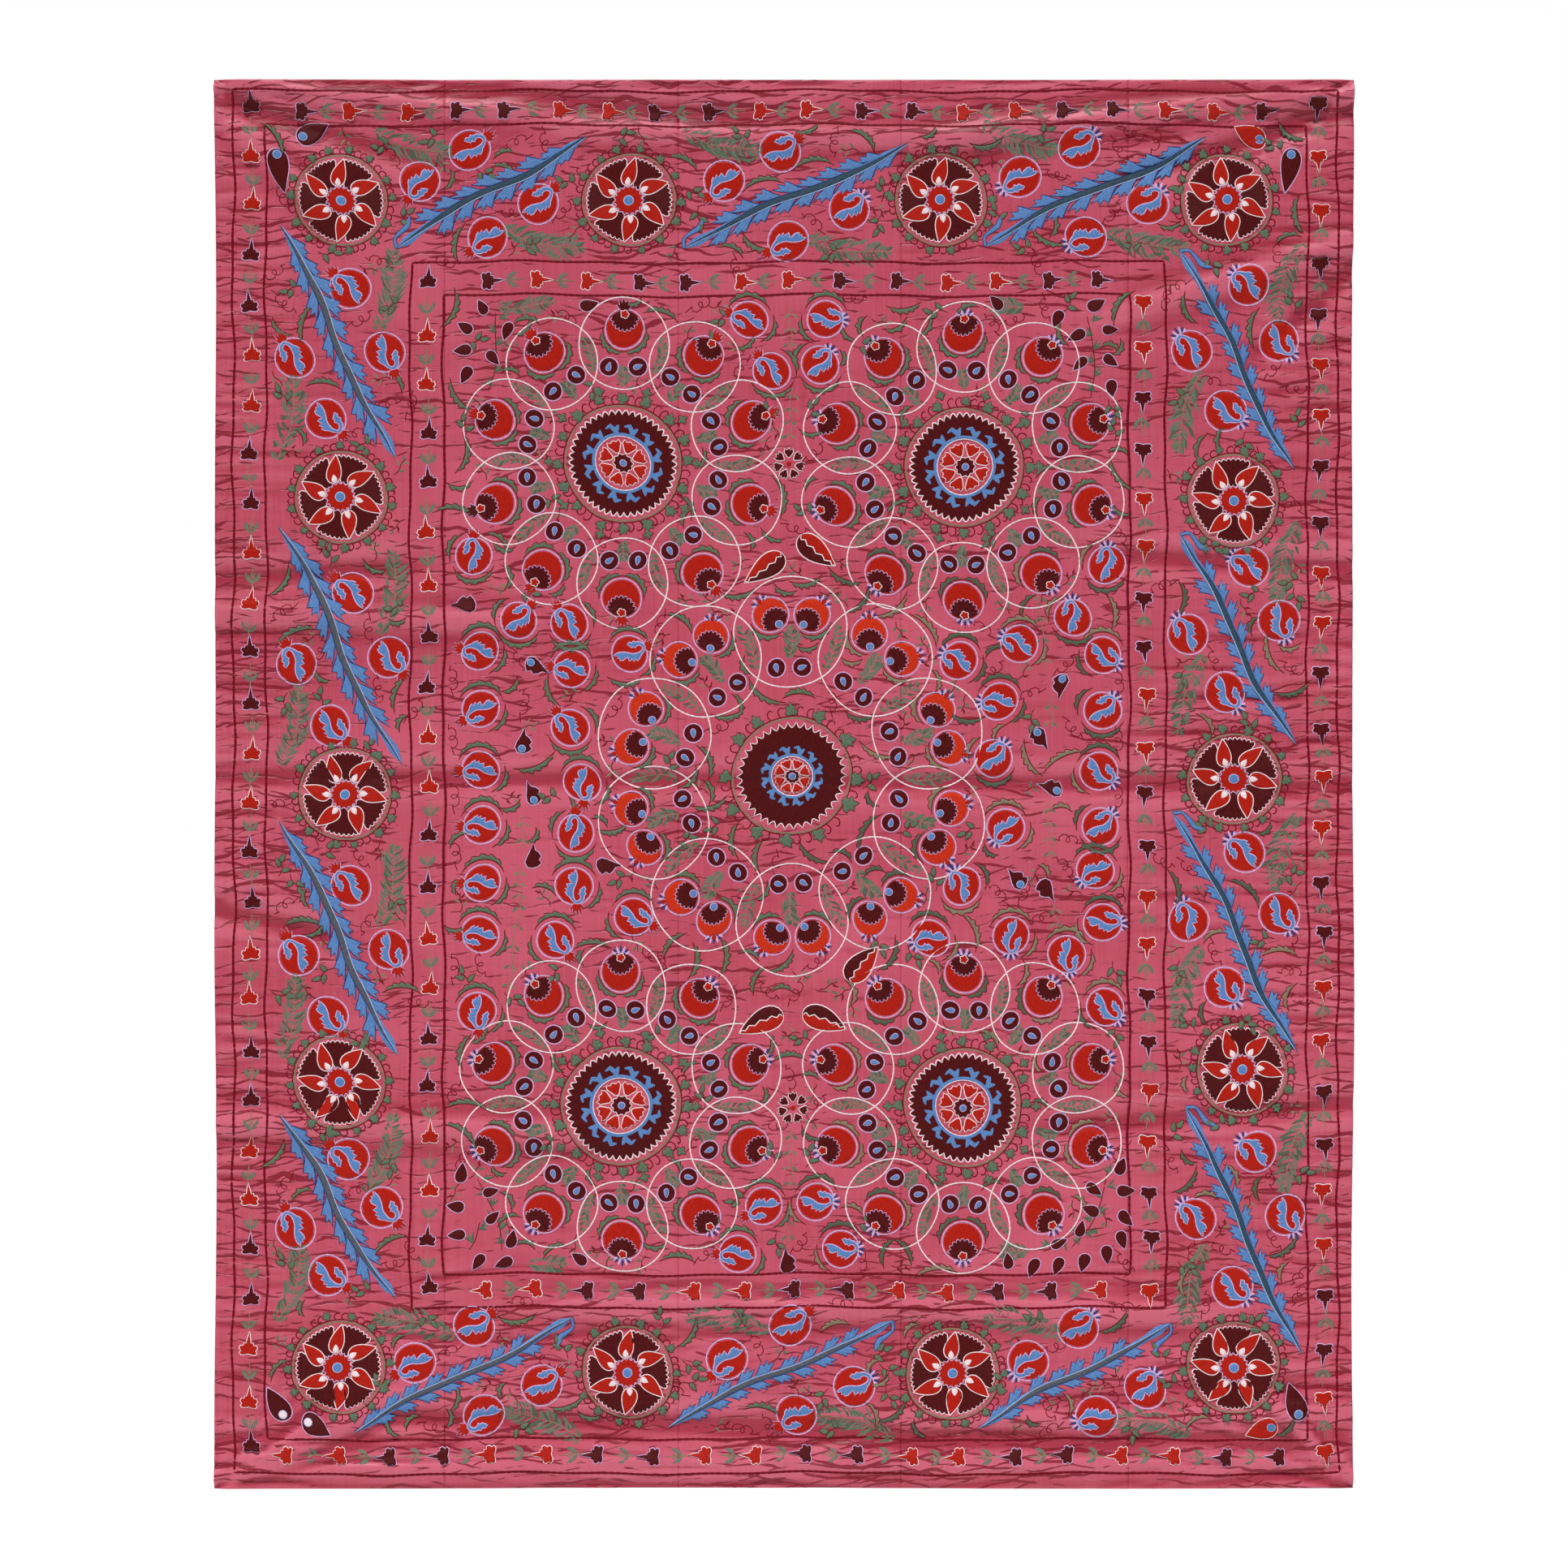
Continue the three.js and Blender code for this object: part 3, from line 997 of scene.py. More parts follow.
def two_leaf_sprig(at):
    """A faint stem with two broad leaves that point up and out."""
    stem("sage", at(np.linspace((0, -26), (0, 24), 7)), 1.8)
    for side in (-1, 1):
        stroke("fern", at([(0, -10), (side * 6, -5), (side * 11, 2), (side * 13, 9)]), 8.6)
        stroke("sage", at([(0, -2), (side * 3, 3), (side * 4, 9)]), 3.6)


def tulip_row(x1, z1, x2, z2, way, first, count):
    """Tulips in pairs of maroon and red along a line, all pointing one way, a sprig between each."""
    start, end = np.array([x1, z1]), np.array([x2, z2])
    for k in range(count):
        turn = way - 90 + RANDOM.uniform(-5, 5)
        at = Stamp(*(start + (end - start) * (k + RANDOM.uniform(-0.06, 0.06)) / (count - 1)), turn)
        turned_patch(at, *TULIP_COLOURS[((k + first) // 2) % 2], TULIP, 2.2, (0, -2))
        if k < count - 1:
            two_leaf_sprig(Stamp(*(start + (end - start) * (k + 0.5) / (count - 1)), turn))


# The layout
FRAME_LINES = (  # left, right, top, bottom of the stitched rectangles
    (-1016, 1022, -21, -2572), (-956, 966, -84, -2509), (-689, 704, -337, -2266), (-628, 637, -398, -2205),
)
FRAME_LINE_WIDTH, FRAME_LINE_LINK = 5.0, 12.0
TULIP_ROWS = (  # from x, from z, to x, to z, direction they point in, place in the colour order, how many
    (-983, -48, -986, -2527, 90, 1, 28), (-888, -58, 890, -58, 0, 1, 20),
    (988, -48, 998, -2535, 270, 1, 27), (-920, -2538, 905, -2540, 180, 2, 20),
    (-658, -374, -655, -2228, 90, 1, 21), (-551, -372, 580, -372, 0, 1, 13),
    (661, -410, 676, -2236, 270, 2, 21), (-551, -2234, 585, -2236, 180, 2, 13),
)
CORNER_MEDALLIONS = ((-297, -707), (331, -713), (-300, -1893), (331, -1895))
CENTRE_MEDALLION = (13, -1287)
CIRCLES_IN_RING = 10
SMALL_STARS = ((10, -712), (13, -1900))
ROSETTES = (  # x, z, turn
    (-818, -222, 0), (-286, -220, 0), (291, -220, 0), (815, -220, 12), (-815, -770, 15), (-812, -1317, 27),
    (-821, -1850, 30), (-821, -2374, 4), (830, -774, 28), (831, -1288, 25), (845, -1825, 27),
    (831, -2374, 28), (-289, -2385, 0), (310, -2385, 3),
)
LEAVES_LEFT = (  # foot x, foot z, tip x, tip z
    (-718, -695, -930, -270), (-707, -1260, -932, -828), (-712, -1798, -929, -1371),
    (-719, -2243, -933, -1914),
)
LEAVES_RIGHT = (
    (733, -316, 942, -716), (728, -840, 945, -1227), (721, -1353, 950, -1793), (742, -1898, 956, -2352),
)
LEAVES_TOP = ((-716, -309, -366, -106), (-181, -309, 231, -118), (372, -306, 780, -105))
LEAVES_BOTTOM = ((-389, -2286, -789, -2493), (198, -2290, -216, -2487), (713, -2295, 360, -2487))
LEAF_SIDES = (  # leaves, colour of the midrib, direction of the side
    (LEAVES_LEFT, "slate", 90), (LEAVES_RIGHT, "teal", 270), (LEAVES_TOP, "teal", 0),
    (LEAVES_BOTTOM, "slate", 180),
)
CORNER_PAISLEYS = (  # x, z, direction of the tip, length, mirrored, colour, colour of the dot
    (-870, -103, 8, 62, True, "maroon", "blue"), (-938, -166, 262, 80, True, "maroon", "blue"),
    (865, -105, 172, 62, False, "red", "blue"), (940, -162, 278, 80, False, "maroon", "blue"),
    (-927, -2447, 100, 66, True, "maroon", "white"), (-864, -2480, 352, 58, False, "maroon", "white"),
    (950, -2443, 84, 66, True, "maroon", "blue"), (882, -2484, 180, 60, True, "red", "blue"),
)
FIELD_FRUIT = (  # x, z, crown direction
    (-571, -881, 90), (-491, -1001, 50), (-395, -1005, 125), (-563, -1055, 170), (-395, -1088, 175),
    (-559, -1162, 215), (-394, -1198, 130), (-560, -1276, 180), (-370, -1299, 270), (-559, -1377, 180),
    (-386, -1392, 90), (-556, -1483, 180), (-389, -1489, 280), (-560, -1579, 185), (-419, -1591, 310),
    (-569, -1721, 275), (-285, -1058, 25), (-277, -1544, 335), (-63, -443, 160), (79, -445, 0),
    (-24, -539, 130), (66, -529, 50), (-36, -2081, 205), (61, -2073, 0), (-87, -2166, 180),
    (105, -2160, 0), (596, -899, 90), (535, -995, 90), (433, -1040, 150), (587, -1064, 330),
    (397, -1147, 180), (586, -1168, 50), (388, -1251, 50), (584, -1279, 320), (407, -1378, 230),
    (584, -1380, 45), (572, -1462, 220), (590, -1559, 0), (421, -1580, 270), (524, -1616, 275),
    (593, -1714, 315), (322, -1070, 150), (330, -1486, 120), (271, -1583, 200),
)
FIELD_FRUIT_SIZE = 0.92
BOTEHS = (  # x, z, direction of the tip, mirrored
    (-31, -902, 228, False), (51, -872, 310, True), (-35, -1735, 190, True), (71, -1731, 350, False),
    (136, -1636, 62, False),
)
BUDS = (  # x, z, direction of the tip, with a blue dot
    (-590, -970, 175, False), (-460, -1085, 330, True), (-480, -1225, 80, True), (-465, -1320, 110, True),
    (-466, -1438, 90, False), (-328, -1450, 0, False), (510, -1120, 262, True), (475, -1215, 300, True),
    (495, -1310, 160, True), (430, -1475, 130, True), (485, -1495, 300, False), (2, -2185, 90, False),
)
BUD_SIZE = 1.3
FIELD_DROPS = (  # x, z, direction of the tip
    (-559, -424, 135), (-586, -462, 165), (-586, -502, 200), (-582, -544, 255), (-508, -462, 270),
    (-536, -512, 325), (-365, -415, 30), (390, -415, 150), (570, -420, 45), (595, -465, 20),
    (600, -520, 340), (505, -440, 260), (540, -475, 220), (550, -525, 240), (605, -570, 290),
    (-600, -2022, 95), (-547, -2055, 30), (-604, -2081, 185), (-540, -2104, 60), (-598, -2132, 200),
    (-560, -2180, 250), (-505, -2147, 95), (-511, -2187, 215), (-375, -2180, 160), (620, -2012, 80),
    (568, -2047, 340), (626, -2053, 20), (566, -2091, 175), (628, -2101, 330), (544, -2126, 95),
    (622, -2139, 300), (504, -2150, 40), (595, -2166, 290), (415, -2182, 120), (465, -2189, 265),
    (509, -2189, 265), (555, -2183, 270),
)
FIELD_FERNS = (  # x, z, direction, length
    (-530, -420, 3, 110), (440, -422, 178, 60), (-470, -2190, 4, 70), (450, -2165, 176, 50),
)
FIELD_SPRAYS = (  # x1, z1, x2, z2, twigs
    (-545, -580, -535, -430, 6), (566, -590, 555, -440, 6), (-520, -2165, -570, -2030, 6),
    (-580, -2160, -560, -2110, 2), (530, -2160, 600, -2010, 7), (590, -2120, 480, -2165, 4),
)
FIELD_SPRIGS = (  # x, z, turn
    (-590, -640, 0), (-590, -1660, 20), (612, -650, 0), (616, -1650, 200), (-140, -480, 80),
    (150, -490, 280), (-130, -2110, 80), (150, -2110, 280), (-30, -620, 20), (50, -610, 330),
    (-20, -1985, 10), (46, -1990, 340),
)
TENDRILS = (  # x, z, turn
    (-153, -420, 20), (124, -409, 350), (57, -697, 40), (-474, -1160, 80), (-604, -1110, 90),
    (-604, -1218, 95), (-606, -1325, 88), (-600, -1430, 92), (-606, -1643, 85), (490, -940, 70),
    (385, -1095, 30), (622, -1116, 90), (624, -1225, 92), (624, -1330, 85), (626, -1510, 95),
    (60, -1636, 30), (28, -1690, 60), (17, -1850, 90),
)
LEAFY_STEMS = (  # x1, z1, x2, z2, pairs of leaves
    (-484, -1360, -486, -1420, 2), (-486, -1455, -488, -1540, 4), (-488, -1545, -512, -1690, 4),
    (-545, -930, -500, -950, 1), (495, -1140, 492, -1200, 2), (488, -1335, 490, -1440, 4),
    (500, -1520, 506, -1570, 2), (470, -900, 478, -1090, 5), (14, -420, 12, -500, 3), (12, -570, 10, -670, 4),
    (13, -1935, 12, -2050, 4), (10, -2095, 8, -2150, 2),
)
FILLERS = (  # how much bare silk each needs round it, motifs to choose from
    (22.0, (long_half_leaf,)), (10.5, (half_leaf, half_leaf, tendril, twig, twig, sprig)),
)
FILLER_SIZE = 0.95
BARE_AREAS = (  # left, right, bottom, top, tries
    (-612, 622, -2190, -412, 7000), (-938, 950, -318, -100, 2200), (-938, 950, -2492, -2284, 2200),
    (-938, -706, -2284, -318, 2200), (722, 950, -2284, -318, 2200),
)


def turn_between(a, b):
    return abs((a - b + 180) % 360 - 180)


def frame_lines():
    for left, right, top, bottom in FRAME_LINES:
        corners = ((left, top), (right, top), (right, bottom), (left, bottom))
        for a, b in zip(corners, corners[1:] + corners[:1]):
            chain("crimson", np.linspace(a, b, 200), FRAME_LINE_WIDTH, link=FRAME_LINE_LINK)


def border():
    frame_lines()
    for row in TULIP_ROWS:
        tulip_row(*row)
    for row in ROSETTES:
        rosette(*row)
    for leaves, midrib, along in LEAF_SIDES:
        for foot_x, foot_z, tip_x, tip_z in leaves:
            border_cell((foot_x, foot_z), (tip_x, tip_z), midrib, along)
    for x, z, tip, length, is_mirrored, colour, dot in CORNER_PAISLEYS:
        paisley(Stamp(x, z, tip - 90, 1.0, is_mirrored), length, colour, dot)


def ring_of_circles(x, z, spread, radius, fruit):
    """White circles in a ring, each one overlapping the next, with fruit and beads inside."""
    for k in range(CIRCLES_IN_RING):
        at = Stamp(x, z, 360 * k / CIRCLES_IN_RING)
        inside = at.inside(0, spread)
        ring(inside, "white", radius, 2.8, 90, base=0.3, rise=1.0)
        fruit(inside)
        lens = at.inside(0, 0, 180 / CIRCLES_IN_RING)
        middle = spread * math.cos(math.pi / CIRCLES_IN_RING)
        fern(lens.inside(0, middle - 0.46 * radius), 0.92 * radius, 0.14 * radius, 8, 6.2)


def corner_circle(inside):
    x, z = inside.middle
    hug = inside.inside(0, 26)
    fruit_with_crest(hug, x > 40 or z < -1600)
    for side in (-1, 1):
        bead(inside.inside(26 * side, -43, RANDOM.uniform(0, 360)))
        start, end = (188, 262) if side < 0 else (-8, -82)
        crescent(hug, 42, start, end)
    fern(inside.inside(0, -80), 40, 13, 8)


def centre_circle(inside):
    for side in (-1, 1):
        fruit_with_eye(inside.inside(37 * side, 31, -40 * side))
        bead(inside.inside(24 * side, -67, RANDOM.uniform(0, 360)))
        start, end = (215, 290) if side < 0 else (-35, -110)
        crescent(inside.inside(37 * side, 31), 39, start, end)
    fern(inside.inside(0, -52), 64, 16, 11)


def field_fruit(x, z, crown_at):
    """A pomegranate with a large half leaf over or under it and a small one beside it."""
    fruit_with_leaf(x, z, crown_at, FIELD_FRUIT_SIZE)
    over = next(way for way in (90, 270, 0) if turn_between(way, crown_at) > 55)
    beside = over - 118 if turn_between(over - 118, crown_at) > 50 else over + 118
    at = Stamp(x, z)
    crescent(at, 44, over - 48, over + 48, 5, 9.5, 18)
    crescent(at, 46, beside + 26, beside - 26, 3, 8.5, 14)


def field():
    for x, z in CORNER_MEDALLIONS:
        medallion(x, z, 46, False, (51, 56, 72), 8, 16, 1.25)
        ring_of_circles(x, z, 222, 84, corner_circle)
        for turn in np.arange(18, 378, 360 / CIRCLES_IN_RING):
            small_leaf(Stamp(x, z).inside(*place_at(138, 90 + turn), turn), STARLET)
    medallion(*CENTRE_MEDALLION, 38, True, (37, 41, 55), 8, 12, 1.6)
    ring_of_circles(*CENTRE_MEDALLION, 266, 103, centre_circle)
    for row in FIELD_FRUIT:
        field_fruit(*row)
    for x, z in SMALL_STARS:
        small_star(x, z)


def field_fillers():
    for x, z, tip, is_mirrored in BOTEHS:
        boteh(Stamp(x, z, tip - 90, 1.0, is_mirrored))
    for x, z, tip, dotted in BUDS:
        bud(Stamp(x, z, tip - 90, BUD_SIZE), dotted)
    for x, z, tip in FIELD_DROPS:
        at = Stamp(x, z, tip - 90, RANDOM.uniform(0.92, 1.12))
        take(x, z, 16)
        turned_patch(at, "maroon", "lilac", DROPLET, 1.8)
    for x, z, way, length in FIELD_FERNS:
        fern(Stamp(x, z, way - 90), length, 19, 14)
    for row in FIELD_SPRAYS:
        spray(*row)
    for place in FIELD_SPRIGS:
        sprig(Stamp(*place))
    for place in TENDRILS:
        tendril(Stamp(*place))
    for row in LEAFY_STEMS:
        leafy_stem(*row)


def bare_places():
    """Half leaves, twigs and tendrils wherever the silk is still bare."""
    for reach, motifs in FILLERS:
        for left, right, bottom, top, tries in BARE_AREAS:
            places = np.column_stack([RANDOM.uniform(left, right, tries), RANDOM.uniform(bottom, top, tries)])
            taken = np.array(TAKEN)
            gaps = np.hypot(*(places[:, None, :] - taken[:, :2]).transpose(2, 0, 1)) - taken[:, 2]
            for x, z in places[gaps.min(1) > reach]:
                if is_free(x, z, reach):
                    at = Stamp(x, z, RANDOM.uniform(0, 360), FILLER_SIZE)
                    motifs[RANDOM.integers(len(motifs))](at)
                    take(x, z, reach)


border()
field()
field_fillers()
bare_places()


# Materials, with lengths in metres
WAVE_PERIOD = 0.314  # of a wave texture of scale 1
NOISE_ROUGHNESS = 0.55
SILK_DARK, SILK_LIGHT, SILK_STREAK = (186, 62, 86), (204, 84, 108), (216, 108, 130)
# Painted shade for the hollows of the folds, a painted highlight for their ridges, and painted shade along
# the crease lines
SILK_PAINTED_HOLLOW_SHADE, SILK_PAINTED_RIDGE_HIGHLIGHT, SILK_PAINTED_CREASE_SHADE = (152, 14, 46), (228, 122, 144), (134, 6, 36)
SILK_SHEEN = (255, 190, 205)
CREASES = (  # spacing, tilt, noise at which lines begin, how often that noise changes across and down
    (0.034, 0.03, 0.41, 6, 26), (0.023, -0.1, 0.42, 17, 34), (0.018, 0.22, 0.46, 26, 38),
)
CREASE_JAGGEDNESS = 9.0
# How far the crease lines darken the silk's colour as painted shade, and how deep their bump is
CREASE_SHADE_STRENGTH, CREASE_DEPTH = 0.9, 0.0016
RIB_SCALE, RIB_DEPTH = 260.0, 0.00012
FLOSS_SCALE, FLOSS_DEPTH = 170.0, 0.0004


def linear(red, green, blue):
    """A colour given as it looks on screen, from 0 to 255."""
    channels = []
    for value in (red, green, blue):
        share = value / 255
        channels.append(share / 12.92 if share <= 0.04045 else ((share + 0.055) / 1.055) ** 2.4)
    return (*channels, 1.0)


class Nodes:
    """Short calls for a material's node tree."""

    def __init__(self, name):
        self.material = bpy.data.materials.new(name)
        self.material.use_nodes = True
        self.tree = self.material.node_tree
        self.shader = self.tree.nodes["Principled BSDF"]

    def add(self, kind, settings=None, **inputs):
        node = self.tree.nodes.new(kind)
        for key, value in (settings or {}).items():
            setattr(node, key, value)
        for key, value in inputs.items():
            self.feed(node, key, value)
        return node

    def feed(self, node, key, value):
        socket = node.inputs[int(key[1:])] if key[0] == "i" and key[1:].isdigit() else node.inputs[key]
        if isinstance(value, bpy.types.NodeSocket):
            self.tree.links.new(value, socket)
        else:
            socket.default_value = value

    def stretched(self, place, scale, turn=(0, 0, 0), shift=(0, 0, 0)):
        node = self.add("ShaderNodeMapping", Vector=place, Scale=scale, Rotation=turn, Location=shift)
        return node.outputs["Vector"]

    def noise(self, place, scale, detail=2.0):
        inputs = {"Scale": scale, "Detail": detail, "Roughness": NOISE_ROUGHNESS}
        return self.add("ShaderNodeTexNoise", Vector=place, **inputs).outputs["Fac"]

    def stretched_noise(self, place, scale):
        return self.noise(self.stretched(place, scale), 1.0)

    def waves(self, place, direction, scale, distortion, detail=2.0):
        settings = {"wave_type": "BANDS", "bands_direction": direction}
        inputs = {"Scale": scale, "Distortion": distortion, "Detail": detail}
        return self.add("ShaderNodeTexWave", settings, Vector=place, **inputs)

    def attribute(self, name):
        return self.add("ShaderNodeAttribute", {"attribute_name": name}).outputs["Fac"]

    def object_place(self):
        return self.add("ShaderNodeTexCoord").outputs["Object"]

    def surface(self, inputs):
        for key, value in inputs.items():
            self.feed(self.shader, key, value)

    def math(self, operation, a, b):
        return self.add("ShaderNodeMath", {"operation": operation}, i0=a, i1=b).outputs[0]

    def ranged(self, value, low, high, to_low=0.0, to_high=1.0):
        inputs = {"Value": value, "From Min": low, "From Max": high, "To Min": to_low, "To Max": to_high}
        node = self.add("ShaderNodeMapRange", {"clamp": True})
        for key, setting in inputs.items():
            self.feed(node, key, setting)
        return node.outputs["Result"]

    def mix(self, share, a, b):
        node = self.add("ShaderNodeMix", {"data_type": "RGBA"}, i0=share, i6=a, i7=b)
        return node.outputs[2]

    def bump(self, height, distance, strength, before=None):
        node = self.add("ShaderNodeBump", Height=height, Distance=distance, Strength=strength)
        if before is not None:
            self.feed(node, "Normal", before)
        return node.outputs["Normal"]


def crease_lines(n, place, drawn, spacing, tilt, onset, across, down):
    """Jagged thin lines across the silk, each swelling and tapering with a noise: 1 along a line. The silk
    uses them as painted crease shade in its colour and as a shallow bump.
    """
    tilted = n.stretched(place, (1, 1, 1), (0, tilt, 0))
    waves = n.waves(tilted, "Z", WAVE_PERIOD / spacing, CREASE_JAGGEDNESS, 3.0)
    n.feed(waves, "Detail Scale", 18.0 * spacing)
    mask = n.noise(n.stretched(place, (across, 1, down), (0, 0, 0), (9 * tilt, 0, 5)), 1.0)
    swelling = n.ranged(n.math("ADD", mask, drawn), onset, onset + 0.24, -0.04, 0.13)
    return n.ranged(n.math("SUBTRACT", swelling, waves.outputs["Fac"]), 0.0, 0.05)


def silk_material():
    """Rose silk: painted shade in its hollows and a painted highlight on its ridges, short creases drawn as
    painted shade with a shallow bump, a fine rib, slubs and a soft sheen.
    """
    n = Nodes("silk_ground")
    place = n.object_place()
    drift = n.noise(n.stretched(place, (1.4, 1, 2.2)), 2.0, 3)
    ground = n.mix(n.ranged(drift, 0.35, 0.68), linear(*SILK_DARK), linear(*SILK_LIGHT))
    streaks = n.stretched_noise(place, (140, 1, 4))
    ground = n.mix(n.ranged(streaks, 0.3, 0.7, 0.0, 0.25), ground, linear(*SILK_STREAK))
    # Painted shade where the silk lies in a hollow of its folds, and a painted highlight where it stands on a
    # ridge
    hollow = n.attribute("hollow")
    ground = n.mix(n.ranged(hollow, 0.08, 0.7, 0.0, 0.7), ground, linear(*SILK_PAINTED_HOLLOW_SHADE))
    ground = n.mix(n.ranged(hollow, -0.5, -0.05, 0.35, 0.0), ground, linear(*SILK_PAINTED_RIDGE_HIGHLIGHT))
    axes = n.add("ShaderNodeSeparateXYZ", Vector=place).outputs
    across = n.math("MULTIPLY", n.math("ABSOLUTE", axes["X"], 0.0), 0.95)
    down = n.math("MULTIPLY", n.math("ABSOLUTE", n.math("ADD", axes["Z"], DROP * MM / 2), 0.0), 0.77)
    clusters = n.stretched_noise(place, (3, 1, 6))
    towards_edge = n.ranged(n.math("MAXIMUM", across, down), 0.5, 0.95, -0.05, 0.03)
    drawn = n.math("ADD", towards_edge, n.ranged(clusters, 0.35, 0.65, -0.1, 0.1))
    crease = 0.0
    for row in CREASES:
        crease = n.math("MAXIMUM", crease, crease_lines(n, place, drawn, *row))
    crease = n.math("MULTIPLY", crease, n.attribute("sharp"))
    rib = n.waves(place, "Z", RIB_SCALE, 1.2).outputs["Fac"]
    slubs = n.stretched_noise(place, (40, 1, 420))
    fine = n.bump(n.math("ADD", rib, slubs), RIB_DEPTH, 0.5)
    # The base colour takes painted shade along the crease lines; the normal takes their bump over the fine
    # rib
    n.surface({
        "Base Color": n.mix(n.math("MULTIPLY", crease, CREASE_SHADE_STRENGTH), ground, linear(*SILK_PAINTED_CREASE_SHADE)),
        "Normal": n.bump(n.math("SUBTRACT", 1.0, crease), CREASE_DEPTH, 0.8, fine),
        "Roughness": n.ranged(slubs, 0.3, 0.7, 0.36, 0.5),
        "Specular IOR Level": 0.35,
        "Sheen Weight": 0.2,
        "Sheen Roughness": 0.35,
        "Sheen Tint": linear(*SILK_SHEEN),
    })
    return n.material


def thread_material(name, dark, light):
    """Silk floss: rows of thread along the grain, each a little lighter or darker than the next."""
    n = Nodes(name)
    grain = n.add("ShaderNodeUVMap", {"uv_map": "grain"}).outputs["UV"]
    strands = n.stretched_noise(grain, (110, 700, 1))
    tufts = n.stretched_noise(grain, (420, 520, 1))
    shade = n.math("ADD", n.math("MULTIPLY", strands, 0.6), n.math("MULTIPLY", tufts, 0.4))
    rows = n.waves(grain, "Y", FLOSS_SCALE, 2.5).outputs["Fac"]
    n.surface({
        "Base Color": n.mix(n.ranged(shade, 0.32, 0.68), linear(*dark), linear(*light)),
        "Normal": n.bump(n.math("ADD", rows, tufts), FLOSS_DEPTH, 0.6),
        "Roughness": n.ranged(tufts, 0.3, 0.7, 0.46, 0.64),
        "Specular IOR Level": 0.12,
    })
    return n.material


THREAD_COLOURS = {  # slot in the record, darker strand, lighter strand
    "red": ("thread_red", (156, 14, 6), (197, 36, 17)),
    "orange": ("thread_red", (184, 32, 10), (222, 60, 28)),
    "maroon": ("thread_maroon", (56, 5, 8), (98, 16, 19)),
    "blue": ("thread_blue", (58, 106, 174), (116, 156, 206)),
    "slate": ("thread_slate", (62, 66, 76), (104, 108, 116)),
    "teal": ("thread_slate", (34, 54, 68), (66, 92, 108)),
    "green": ("thread_green", (68, 94, 72), (114, 132, 110)),
    "moss": ("thread_green", (64, 82, 66), (98, 110, 92)),
    "fern": ("thread_green", (92, 98, 86), (132, 132, 116)),
    "sage": ("thread_green", (118, 106, 84), (154, 138, 114)),
    "white": ("thread_white", (238, 208, 212), (255, 240, 244)),
    "lilac": ("thread_lilac", (196, 154, 208), (230, 198, 232)),
    "pale": ("thread_lilac", (150, 172, 226), (196, 208, 242)),
    "crimson": ("thread_crimson", (96, 0, 20), (134, 6, 36)),
    "brown": ("thread_crimson", (92, 18, 24), (130, 40, 38)),
    "navy": ("thread_navy", (26, 36, 84), (56, 70, 134)),
}


# Pieces
def scene_object(name, data):
    obj = bpy.data.objects.new(name, data)
    bpy.context.collection.objects.link(obj)
    return obj


def mesh_piece(name, points, triangles, material):
    mesh = bpy.data.meshes.new(name)
    mesh.vertices.add(len(points))
    mesh.vertices.foreach_set("co", np.ascontiguousarray(points, np.float32).ravel())
    mesh.loops.add(triangles.size)
    mesh.loops.foreach_set("vertex_index", np.ascontiguousarray(triangles, np.int32).ravel())
    mesh.polygons.add(len(triangles))
    mesh.polygons.foreach_set("loop_start", np.arange(0, triangles.size, 3, dtype=np.int32))
    mesh.update(calc_edges=True)
    mesh.validate()
    mesh.shade_smooth()
    mesh.materials.append(material)
    piece = scene_object(name, mesh)
    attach(piece, "root")
    return piece


def lowest_near(height, reach):
    """The lowest height within a few rows, so that the coarser back never cuts the front."""
    padded = np.pad(height, ((reach, reach), (0, 0)), mode="edge")
    return np.min([padded[k:k + len(height)] for k in range(2 * reach + 1)], axis=0)


def grid_faces(index):
    """Triangles of a net of points that face the front."""
    a, b, c, d = index[1:, :-1], index[1:, 1:], index[:-1, 1:], index[:-1, :-1]
    return np.concatenate([np.stack(corners, -1).reshape(-1, 3) for corners in ((a, b, c), (a, c, d))])


def rim_faces(front, back, marks):
    """Closes an edge between a fine front line and a coarser back line that meets it at the marks."""
    faces = []
    for j, (first, last) in enumerate(zip(marks[:-1], marks[1:])):
        middle = (first + last + 1) // 2
        for k in range(first, last):
            faces.append((front[k], front[k + 1], back[j] if k < middle else back[j + 1]))
        faces.append((front[middle], back[j + 1], back[j]))
    return faces


